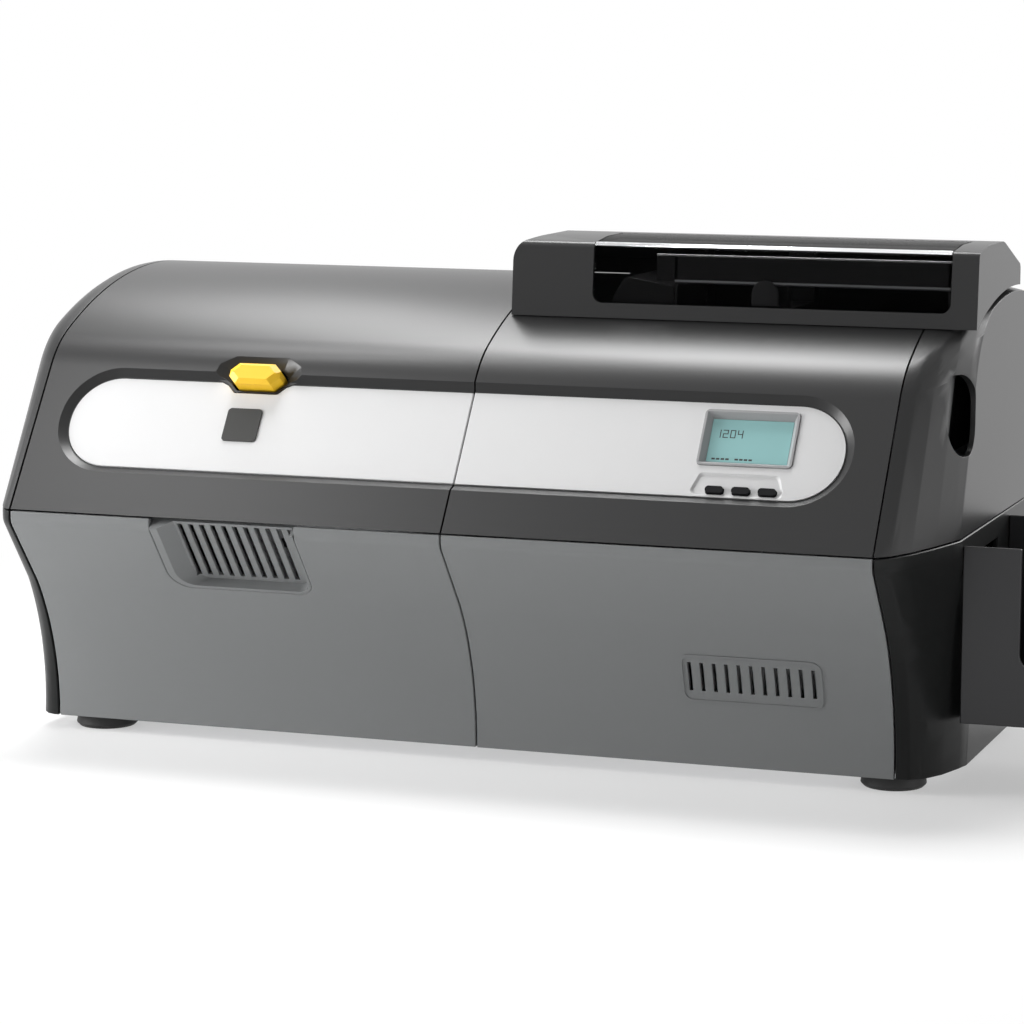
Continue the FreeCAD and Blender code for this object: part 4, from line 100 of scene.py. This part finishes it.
def mesh_object(name, points, faces, material, body):
    """Makes an object of points and faces that rides on a body."""
    mesh = bpy.data.meshes.new(name)
    mesh.from_pydata(np.asarray(points).reshape(-1, 3).tolist(), [], faces)
    mesh.materials.append(material)
    mesh.update()
    mesh.shade_smooth()
    mesh.set_sharp_from_angle(angle=CREASE)
    obj = bpy.data.objects.new(name, mesh)
    bpy.context.scene.collection.objects.link(obj)
    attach(obj, body)
    return obj


def grid_faces(rows, columns, wrap_columns=False):
    """Quads of a grid of rows by columns points, joined round where it wraps."""
    row = np.arange(rows - 1)
    column = np.arange(columns if wrap_columns else columns - 1)
    i, j = np.meshgrid(row, column, indexing="ij")
    after_i, after_j = i + 1, (j + 1) % columns
    quads = np.stack([i * columns + j, after_i * columns + j,
                      after_i * columns + after_j, i * columns + after_j], axis=-1)
    return quads.reshape(-1, 4).tolist()


def block_points(start, end):
    """The eight corners of a block between two corners."""
    return np.array([(x, y, z) for x in (start[0], end[0])
                     for y in (start[1], end[1]) for z in (start[2], end[2])])


BLOCK_FACES = ((0, 1, 3, 2), (4, 6, 7, 5), (0, 4, 5, 1),
               (2, 3, 7, 6), (0, 2, 6, 4), (1, 5, 7, 3))


# Materials.

GRAIN_SCALE, GRAIN_DETAIL = 1800.0, 3.0
GRAIN_STRENGTH, GRAIN_DEPTH = 0.12, 0.00012
WINDOW_IOR = 1.5


def new_material(name, colour, roughness, specular=0.5, metallic=0.0):
    """A Principled material; returns it with its shader."""
    material = bpy.data.materials.new(name)
    material.use_nodes = True
    shader = material.node_tree.nodes["Principled BSDF"]
    shader.inputs["Base Color"].default_value = (*colour, 1)
    shader.inputs["Roughness"].default_value = roughness
    shader.inputs["Specular IOR Level"].default_value = specular
    shader.inputs["Metallic"].default_value = metallic
    return material, shader


def satin_plastic(name, colour, roughness, specular=0.5):
    """Moulded plastic with a fine grain: noise of Object coordinates drives a bump."""
    material, shader = new_material(name, colour, roughness, specular)
    tree = material.node_tree
    where = tree.nodes.new("ShaderNodeTexCoord")
    noise = tree.nodes.new("ShaderNodeTexNoise")
    noise.inputs["Scale"].default_value = GRAIN_SCALE
    noise.inputs["Detail"].default_value = GRAIN_DETAIL
    bump = tree.nodes.new("ShaderNodeBump")
    bump.inputs["Strength"].default_value = GRAIN_STRENGTH
    bump.inputs["Distance"].default_value = GRAIN_DEPTH
    tree.links.new(where.outputs["Object"], noise.inputs["Vector"])
    tree.links.new(noise.outputs["Fac"], bump.inputs["Height"])
    tree.links.new(bump.outputs["Normal"], shader.inputs["Normal"])
    return material


def plain_plastic(name, colour, roughness, specular=0.5):
    """Smooth moulded plastic or paint."""
    return new_material(name, colour, roughness, specular)[0]


def metal(name, colour, roughness):
    """Bare metal."""
    return new_material(name, colour, roughness, metallic=1.0)[0]


def smoked_glass(name, colour, roughness, specular, shown):
    """Smoked window: a skin over a dark body that lets a share of the light through."""
    material, shader = new_material(name, colour, roughness, specular)
    shader.inputs["Alpha"].default_value = shown
    shader.inputs["IOR"].default_value = WINDOW_IOR
    material.surface_render_method = "BLENDED"
    return material


def lit_display(name, colour, roughness, glow):
    """Display face with a weak back light of its own colour."""
    material, shader = new_material(name, colour, roughness)
    shader.inputs["Emission Color"].default_value = (*colour, 1)
    shader.inputs["Emission Strength"].default_value = glow
    return material


FINISHES = {  # kind, colour, roughness, and then what the kind's function takes
    "cover_grey": (satin_plastic, (0.018, 0.018, 0.0184), 0.33, 0.32),
    "panel_grey": (satin_plastic, (0.200, 0.206, 0.208), 0.48, 0.3),
    "cap_grey": (satin_plastic, (0.012, 0.0125, 0.0125), 0.34, 0.12),
    "silver": (plain_plastic, (0.72, 0.72, 0.722), 0.45, 0.15),
    "badge_dark": (plain_plastic, (0.06, 0.06, 0.058), 0.5, 0.15),
    "latch_yellow": (plain_plastic, (0.95, 0.58, 0.03), 0.38, 0.3),
    "key_dark": (plain_plastic, (0.006, 0.006, 0.007), 0.6, 0.1),
    "bezel_grey": (plain_plastic, (0.34, 0.34, 0.345), 0.28),
    "display_glass": (lit_display, (0.23, 0.43, 0.43), 0.25, 0.22),
    "smoked_window": (smoked_glass, (0.001, 0.001, 0.001), 0.05, 0.02, 0.45),
    # painted highlight: bright metal for the sheet over the window's edge, in place of
    # the glossy window's own shine
    "painted_highlight_metal": (metal, (0.88, 0.89, 0.90), 0.25),
    "rear_grey": (satin_plastic, (0.10, 0.10, 0.105), 0.5),
    "steel": (metal, (0.60, 0.61, 0.63), 0.38),
    "bright_steel": (metal, (0.78, 0.78, 0.79), 0.15),
    "aluminium": (metal, (0.74, 0.75, 0.77), 0.35),
    "head_ceramic": (plain_plastic, (0.12, 0.12, 0.13), 0.25),
    "roller_rubber": (plain_plastic, (0.04, 0.04, 0.045), 0.6),
    "belt_rubber": (plain_plastic, (0.02, 0.02, 0.02), 0.65),
    "foot_rubber": (plain_plastic, (0.008, 0.008, 0.008), 0.60),
    "gear_white": (plain_plastic, (0.80, 0.79, 0.74), 0.45),
    "motor_black": (plain_plastic, (0.025, 0.025, 0.028), 0.35),
    "inner_black": (satin_plastic, (0.018, 0.018, 0.02), 0.38),
    "spool_plastic": (plain_plastic, (0.16, 0.17, 0.30), 0.35),
    "board_green": (plain_plastic, (0.02, 0.13, 0.05), 0.35),
    "supply_steel": (metal, (0.55, 0.56, 0.58), 0.42),
}
finish = {name: make(name, *values) for name, (make, *values) in FINISHES.items()}
slot_of_node = {part["node"]: part["material_slot"]
                for part in frame["record"]["subparts"]}
for name, node in nodes.items():
    node.data.materials.clear()
    node.data.materials.append(finish[slot_of_node[name]])


# Rounded copies of the moulded and folded parts.

SHARP = math.radians(28)  # edges that turn by more than this are rounded
FLAT = math.radians(0.6)  # faces that turn by less than this are joined
SAME_PLACE = 2e-6
NO_LENGTH = 1e-6


def soften(node, width, steps=2, curved=False):
    """Puts a rounded copy in a part's place: points merged, faces joined, bevelled.

    A curved part's normals are weighted by face size, so its long bands shade as one.
    """
    shape = bmesh.new()
    shape.from_mesh(nodes[node].data)
    bmesh.ops.remove_doubles(shape, verts=shape.verts, dist=SAME_PLACE)
    bmesh.ops.dissolve_degenerate(shape, edges=shape.edges, dist=NO_LENGTH)
    bmesh.ops.dissolve_limit(shape, angle_limit=FLAT, verts=shape.verts,
                             edges=shape.edges, delimit={"NORMAL"})
    for edge in shape.edges:
        if len(edge.link_faces) == 2 and edge.calc_face_angle(0) > SHARP:
            edge.smooth = False
    for face in shape.faces:
        face.smooth = True
    mesh = bpy.data.meshes.new(node + "_soft")
    shape.to_mesh(mesh)
    shape.free()
    mesh.materials.append(finish[slot_of_node[node]])
    obj = bpy.data.objects.new(node + "_soft", mesh)
    bpy.context.scene.collection.objects.link(obj)
    bevel = obj.modifiers.new("edges", "BEVEL")
    bevel.width = width
    bevel.segments = steps
    bevel.limit_method = "ANGLE"
    bevel.angle_limit = SHARP
    bevel.harden_normals = not curved
    if curved:
        obj.modifiers.new("shading", "WEIGHTED_NORMAL").keep_sharp = True
    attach(obj, body_of_node[node])
    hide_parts(node)


EDGE_WIDTHS = {  # millimetres
    "print_cover": 0.7, "upper_cover_right": 0.7, "rear_top_cover": 0.7,
    "lower_panel_left": 0.7, "lower_panel_right": 0.35, "feeder_lid": 1.1,
    "rear_panel": 0.4, "vent_grille": 0.4, "strip_left": 0.5, "strip_right": 0.5,
    "lcd_bezel": 0.5, "badge_plate": 0.25, "card_pusher": 0.6, "output_hopper": 0.8,
    "reject_bin": 0.6, "card_bin": 0.5, "pick_cover": 0.8, "rubber_feet": 0.4,
    "power_inlet": 0.3, "rocker_switch": 0.5,
}
CAP_WIDTH = 0.7 * MM
END_CAPS = ("left_end_upper", "right_end_upper", "left_end_lower", "right_end_lower")
WIDE_EDGES = {"latch_button": (2.6, 6), "feeder_window": (1.6, 4)}  # width and steps
for name, width in EDGE_WIDTHS.items():
    soften(name, width * MM)
for name in END_CAPS:
    soften(name, CAP_WIDTH, curved=True)
for name, (width, steps) in WIDE_EDGES.items():
    soften(name, width * MM, steps)


# The window's rounded edge with a painted highlight: a sheet of bright metal over it
# stands in for the shine of the glossy window's rounding, and turns with the lid.

WINDOW_LEFT, WINDOW_RIGHT = low("feeder_window").x, high("feeder_window").x
WINDOW_FRONT, WINDOW_TOP = low("feeder_window").y, high("feeder_window").z
EDGE_ENDS = (WINDOW_LEFT + 0.4 * MM, WINDOW_RIGHT - 0.4 * MM)
EDGE_CENTRE = (WINDOW_FRONT + 6.7 * MM, WINDOW_TOP - 5.8 * MM)
EDGE_RADIUS, EDGE_THICKNESS = 3.75 * MM, 0.2 * MM
# the sheet covers only the part of the rounding where the highlight is painted
EDGE_START, EDGE_STOP, EDGE_STEPS = math.radians(30), math.radians(84), 13


def window_edge_highlight():
    """Painted highlight: a thin bent sheet of bright metal over the window's edge, in
    place of the glossy window's own shine; an arc in Y and Z, drawn out along X.

    The arc is (y, z) = centre + radius * (-cos(angle), sin(angle)), start to stop.
    """
    angle = np.linspace(EDGE_START, EDGE_STOP, EDGE_STEPS)
    arc = np.stack([EDGE_CENTRE[0] - EDGE_RADIUS * np.cos(angle),
                    EDGE_CENTRE[1] + EDGE_RADIUS * np.sin(angle)], -1)
    points = np.array([[(x, y, z) for y, z in arc] for x in EDGE_ENDS])
    obj = mesh_object("window_edge_highlight", points, grid_faces(len(EDGE_ENDS), len(arc)),
                      finish["painted_highlight_metal"], "lid")
    sheet = obj.modifiers.new("thickness", "SOLIDIFY")
    sheet.thickness, sheet.offset = EDGE_THICKNESS, 0


window_edge_highlight()


# The two rails behind the window and the dark band that holds them, on the casing.

BIN_LEFT, BIN_RIGHT = low("card_bin").x, high("card_bin").x
BIN_WALL_TOP = WINDOW_TOP - 50.2 * MM
RAIL_Y = WINDOW_FRONT + 9.3 * MM
UPPER_RAIL, LOWER_RAIL = WINDOW_TOP - 9.1 * MM, WINDOW_TOP - 24.1 * MM
RAIL_LEFT, RAIL_RIGHT = BIN_LEFT - 11 * MM, BIN_RIGHT - 1 * MM
RAIL_SIDES = 16
CARRIER_HALF = 0.6 * MM
POST = 1.5 * MM


def rail(name, left, z, radius, slot):
    """A rail along X with closed ends: (y, z) = centre + radius * (cos(a), sin(a))."""
    turn = np.linspace(0, 2 * math.pi, RAIL_SIDES, endpoint=False)
    ring = np.stack([RAIL_Y + radius * np.cos(turn), z + radius * np.sin(turn)], -1)
    points = np.array([[(x, a, b) for a, b in ring] for x in (left, RAIL_RIGHT)])
    faces = grid_faces(2, RAIL_SIDES, wrap_columns=True)
    faces += [list(range(RAIL_SIDES)),
              list(range(2 * RAIL_SIDES - 1, RAIL_SIDES - 1, -1))]
    mesh_object(name, points, faces, finish[slot], "casing")


def rail_carrier():
    """A band between the rails, on a post at each side of the bin's front wall."""
    blocks = [((RAIL_LEFT, LOWER_RAIL), (RAIL_RIGHT, UPPER_RAIL)),
              ((BIN_LEFT, BIN_WALL_TOP), (BIN_LEFT + POST, UPPER_RAIL)),
              ((RAIL_RIGHT - POST, BIN_WALL_TOP), (RAIL_RIGHT, UPPER_RAIL))]
    front, back = RAIL_Y - CARRIER_HALF, RAIL_Y + CARRIER_HALF
    points = np.concatenate([block_points((x0, front, z0), (x1, back, z1))
                             for (x0, z0), (x1, z1) in blocks])
    faces = [[8 * block + corner for corner in side]
             for block in range(len(blocks)) for side in BLOCK_FACES]
    mesh_object("rail_carrier", points, faces, finish["inner_black"], "casing")


rail("upper_rail", RAIL_LEFT, UPPER_RAIL, 0.8 * MM, "bright_steel")
rail("lower_rail", BIN_LEFT, LOWER_RAIL, 1.2 * MM, "steel")
rail_carrier()


# The pusher's grip behind the window.

TAB_LEFT_OF_MIDDLE = 4.1 * MM
TAB_HALF = 8.0 * MM
TAB_FOOT, TAB_TOP = WINDOW_TOP - 37 * MM, WINDOW_TOP - 21.9 * MM
TAB_FRONT, TAB_BACK = WINDOW_FRONT + 5.3 * MM, WINDOW_FRONT + 6.8 * MM
TAB_STEPS = 17
TAB_EDGE = 0.4 * MM
STEM_HEIGHT = 8 * MM


def pusher_tab():
    """The pusher's grip: a plate with a round top on a short stem.

    The plate's outline is two straight sides and the half circle (x, z) = centre +
    half * (cos(angle), sin(angle)), with half its width as the radius.
    """
    pusher_low, pusher_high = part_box("card_pusher")
    middle = (pusher_low.x + pusher_high.x) / 2 - TAB_LEFT_OF_MIDDLE
    left, right = middle - TAB_HALF, middle + TAB_HALF
    turn = np.linspace(0, math.pi, TAB_STEPS)
    x = np.concatenate([[right], middle + TAB_HALF * np.cos(turn), [left]])
    z = np.concatenate([[TAB_FOOT], TAB_TOP - TAB_HALF + TAB_HALF * np.sin(turn),
                        [TAB_FOOT]])
    count = len(x)
    plate = np.concatenate([np.stack([x, np.full(count, y), z], -1)
                            for y in (TAB_FRONT, TAB_BACK)])
    faces = [list(range(count)), list(range(2 * count - 1, count - 1, -1))]
    faces += [[i, count + i, count + (i + 1) % count, (i + 1) % count]
              for i in range(count)]
    stem = block_points((middle - TAB_HALF / 2, TAB_BACK, TAB_FOOT),
                        (middle + TAB_HALF / 2, pusher_low.y, TAB_FOOT + STEM_HEIGHT))
    faces += [[2 * count + corner for corner in side] for side in BLOCK_FACES]
    obj = mesh_object("pusher_tab", np.concatenate([plate, stem]), faces,
                      finish["rear_grey"], "pusher")
    obj.modifiers.new("edges", "BEVEL").width = TAB_EDGE


pusher_tab()


# Display figures: plain numbers and bars.

SEGMENTS = {"0": "abcdef", "1": "bc", "2": "abged", "4": "fgbc"}  # strokes of a figure
STROKES = {  # start and end of a stroke, in shares of the figure's width and height
    "a": (0, 1, 1, 1), "b": (1, 1, 1, 0.5), "c": (1, 0.5, 1, 0), "d": (0, 0, 1, 0),
    "e": (0, 0, 0, 0.5), "f": (0, 0.5, 0, 1), "g": (0, 0.5, 1, 0.5),
}
GLASS_LEFT = low("lcd_glass").x - MIDDLE_SEAM
GLASS_LOW = 24.1 * MM  # up the slope
MARKS_LEFT = GLASS_LEFT + 3.0 * MM
MARKS_OUT = -6.26 * MM
FIGURES_LOW = GLASS_LOW + 15.5 * MM
FIGURE_WIDTH, FIGURE_HEIGHT, FIGURE_GAP = 2.6 * MM, 4.6 * MM, 1.7 * MM
STROKE_WIDTH = 0.55 * MM
BAR_LOW, BAR_HIGH = GLASS_LOW + 1.2 * MM, GLASS_LOW + 2.3 * MM
BAR_LENGTH, BAR_STEP = 2.0 * MM, 2.7 * MM
BAR_COLUMNS = (0, 1, 2, 3, 5, 6, 7, 8)


def figure_bars(text):
    """Bars of a row of seven-stroke figures: left, low, right and high of each."""
    half = STROKE_WIDTH / 2
    bars = []
    for number, figure in enumerate(text):
        left = MARKS_LEFT + number * (FIGURE_WIDTH + FIGURE_GAP)
        for stroke in SEGMENTS[figure]:
            xa, ya, xb, yb = STROKES[stroke]
            x0, x1 = sorted((left + xa * FIGURE_WIDTH, left + xb * FIGURE_WIDTH))
            y0, y1 = sorted((FIGURES_LOW + ya * FIGURE_HEIGHT,
                             FIGURES_LOW + yb * FIGURE_HEIGHT))
            bars.append((x0 - half, y0 - half, x1 + half, y1 + half))
    return bars


def display_marks():
    """All the dark marks of the display as one mesh of flat bars."""
    bars = figure_bars("1204")
    for column in BAR_COLUMNS:
        left = MARKS_LEFT + column * BAR_STEP
        bars.append((left, BAR_LOW, left + BAR_LENGTH, BAR_HIGH))
    points = np.concatenate([
        on_face(np.array([x0, x1, x1, x0]), np.array([y0, y0, y1, y1]), MARKS_OUT)
        for x0, y0, x1, y1 in bars])
    faces = [[4 * i, 4 * i + 1, 4 * i + 2, 4 * i + 3] for i in range(len(bars))]
    mesh_object("display_marks", points, faces, finish["badge_dark"], "casing")


display_marks()


# Stage: floor, lamps, world and camera.

FLOOR_REACH = 9.0
FLOOR_COLOUR, FLOOR_ROUGHNESS = (0.93, 0.93, 0.93), 0.7
FADE_START, FADE_END = 0.30, 0.85  # distance from the middle of the printer
FADE_LEAST = 0.42  # share of plain white beside the printer; it is 1 past FADE_END
WORLD_LIGHT = 0.08
PLAIN_WHITE = 1.0
LAMPS = (  # name, place, aim, width, height, watts
    ("crest_box", (-0.25, 0.40, 1.48), (-0.02, 0.0, 0.22), 0.50, 0.62, 18),
    ("back_box", (-0.634, 0.68, 1.20), (-0.02, 0.0, 0.22), 0.32, 0.45, 3.0),
    ("top_box", (-0.634, 0.089, 1.42), (-0.02, 0.0, 0.22), 0.32, 0.32, 4),
    ("strip_box", (-0.78, -0.66, 1.16), (-0.30, -0.1, 0.18), 0.34, 0.34, 3.2),
    ("key_box", (-1.30, -0.55, 0.45), (-0.1, -0.1, 0.12), 0.6, 0.6, 18),
    ("right_box", (1.50, -0.35, 0.30), (0.25, -0.05, 0.12), 0.4, 0.5, 3),
    ("rear_box", (1.10, 1.70, 0.80), (0.0, 0.1, 0.15), 1.0, 0.8, 18),
)


def seen_rays(tree):
    """Output that is 1 for camera, glossy and see-through rays and 0 for the rest."""
    rays = tree.nodes.new("ShaderNodeLightPath")
    some = tree.nodes.new("ShaderNodeMath")
    some.operation = "MAXIMUM"
    either = tree.nodes.new("ShaderNodeMath")
    either.operation = "MAXIMUM"
    tree.links.new(rays.outputs["Is Camera Ray"], some.inputs[0])
    tree.links.new(rays.outputs["Is Glossy Ray"], some.inputs[1])
    tree.links.new(some.outputs[0], either.inputs[0])
    tree.links.new(rays.outputs["Is Transmission Ray"], either.inputs[1])
    return either.outputs[0]


def pale_floor():
    """A wide pale floor that keeps the shadow near the printer and fades to white."""
    mesh = bpy.data.meshes.new("floor")
    corners = ((-1, -1), (1, -1), (1, 1), (-1, 1))
    mesh.from_pydata([(x * FLOOR_REACH, y * FLOOR_REACH, 0) for x, y in corners], [],
                     [(0, 1, 2, 3)])
    material, shader = new_material("floor", FLOOR_COLOUR, FLOOR_ROUGHNESS)
    tree = material.node_tree
    where = tree.nodes.new("ShaderNodeTexCoord")
    length = tree.nodes.new("ShaderNodeVectorMath")
    length.operation = "LENGTH"
    fade = tree.nodes.new("ShaderNodeMapRange")
    fade.interpolation_type = "SMOOTHSTEP"
    fade.inputs["From Min"].default_value = FADE_START
    fade.inputs["From Max"].default_value = FADE_END
    fade.inputs["To Min"].default_value = FADE_LEAST
    white = tree.nodes.new("ShaderNodeEmission")
    white.inputs["Strength"].default_value = PLAIN_WHITE
    seen = tree.nodes.new("ShaderNodeMath")
    seen.operation = "MULTIPLY"
    mix = tree.nodes.new("ShaderNodeMixShader")
    tree.links.new(where.outputs["Object"], length.inputs[0])
    tree.links.new(length.outputs["Value"], fade.inputs["Value"])
    tree.links.new(fade.outputs["Result"], seen.inputs[0])
    tree.links.new(seen_rays(tree), seen.inputs[1])
    tree.links.new(seen.outputs[0], mix.inputs[0])
    tree.links.new(shader.outputs[0], mix.inputs[1])
    tree.links.new(white.outputs[0], mix.inputs[2])
    tree.links.new(mix.outputs[0], tree.nodes["Material Output"].inputs["Surface"])
    mesh.materials.append(material)
    floor = bpy.data.objects.new("floor", mesh)
    bpy.context.scene.collection.objects.link(floor)


def lamp(name, place, aim, width, height, power):
    """A rectangular soft box."""
    light = bpy.data.lights.new(name, "AREA")
    light.shape = "RECTANGLE"
    light.size, light.size_y = width, height
    light.energy = power
    obj = bpy.data.objects.new(name, light)
    obj.location = place
    turn = (Vector(aim) - Vector(place)).to_track_quat("-Z", "Y")
    obj.rotation_euler = turn.to_euler()
    bpy.context.scene.collection.objects.link(obj)


def studio_world():
    """A faint even light on the object, with plain white for the rays that see it."""
    world = bpy.data.worlds.new("studio")
    world.use_nodes = True
    bpy.context.scene.world = world
    tree = world.node_tree
    light = tree.nodes["Background"]
    light.inputs["Color"].default_value = (1, 1, 1, 1)
    light.inputs["Strength"].default_value = WORLD_LIGHT
    shown = tree.nodes.new("ShaderNodeBackground")
    shown.inputs["Color"].default_value = (1, 1, 1, 1)
    shown.inputs["Strength"].default_value = PLAIN_WHITE
    mix = tree.nodes.new("ShaderNodeMixShader")
    tree.links.new(seen_rays(tree), mix.inputs[0])
    tree.links.new(light.outputs[0], mix.inputs[1])
    tree.links.new(shown.outputs[0], mix.inputs[2])
    tree.links.new(mix.outputs[0], tree.nodes["World Output"].inputs["Surface"])


pale_floor()
for row in LAMPS:
    lamp(*row)
studio_world()

# The camera, fitted to the photograph. The picture and the focal length are in pixels.
PICTURE = 1024
FOCAL_PIXELS = 3508
SENSOR_WIDTH = 36.0  # millimetres
FARTHEST_SEEN = 30
YAW, PITCH, ROLL = math.radians(19.62), math.radians(8.39), math.radians(-0.11)
CAMERA_RIGHT_OF_SEAM, CAMERA_BACK, CAMERA_HEIGHT = 0.6982, -1.9772, 0.4474
camera_data = bpy.data.cameras.new("camera")
camera_data.sensor_width = SENSOR_WIDTH
camera_data.lens = FOCAL_PIXELS * SENSOR_WIDTH / PICTURE
camera_data.clip_end = FARTHEST_SEEN
camera = bpy.data.objects.new("camera", camera_data)
camera.location = (MIDDLE_SEAM + CAMERA_RIGHT_OF_SEAM, CAMERA_BACK, CAMERA_HEIGHT)
camera.rotation_euler = (math.pi / 2 - PITCH, ROLL, YAW)
bpy.context.scene.collection.objects.link(camera)
bpy.context.scene.camera = camera
bpy.context.scene.view_settings.view_transform = "Standard"
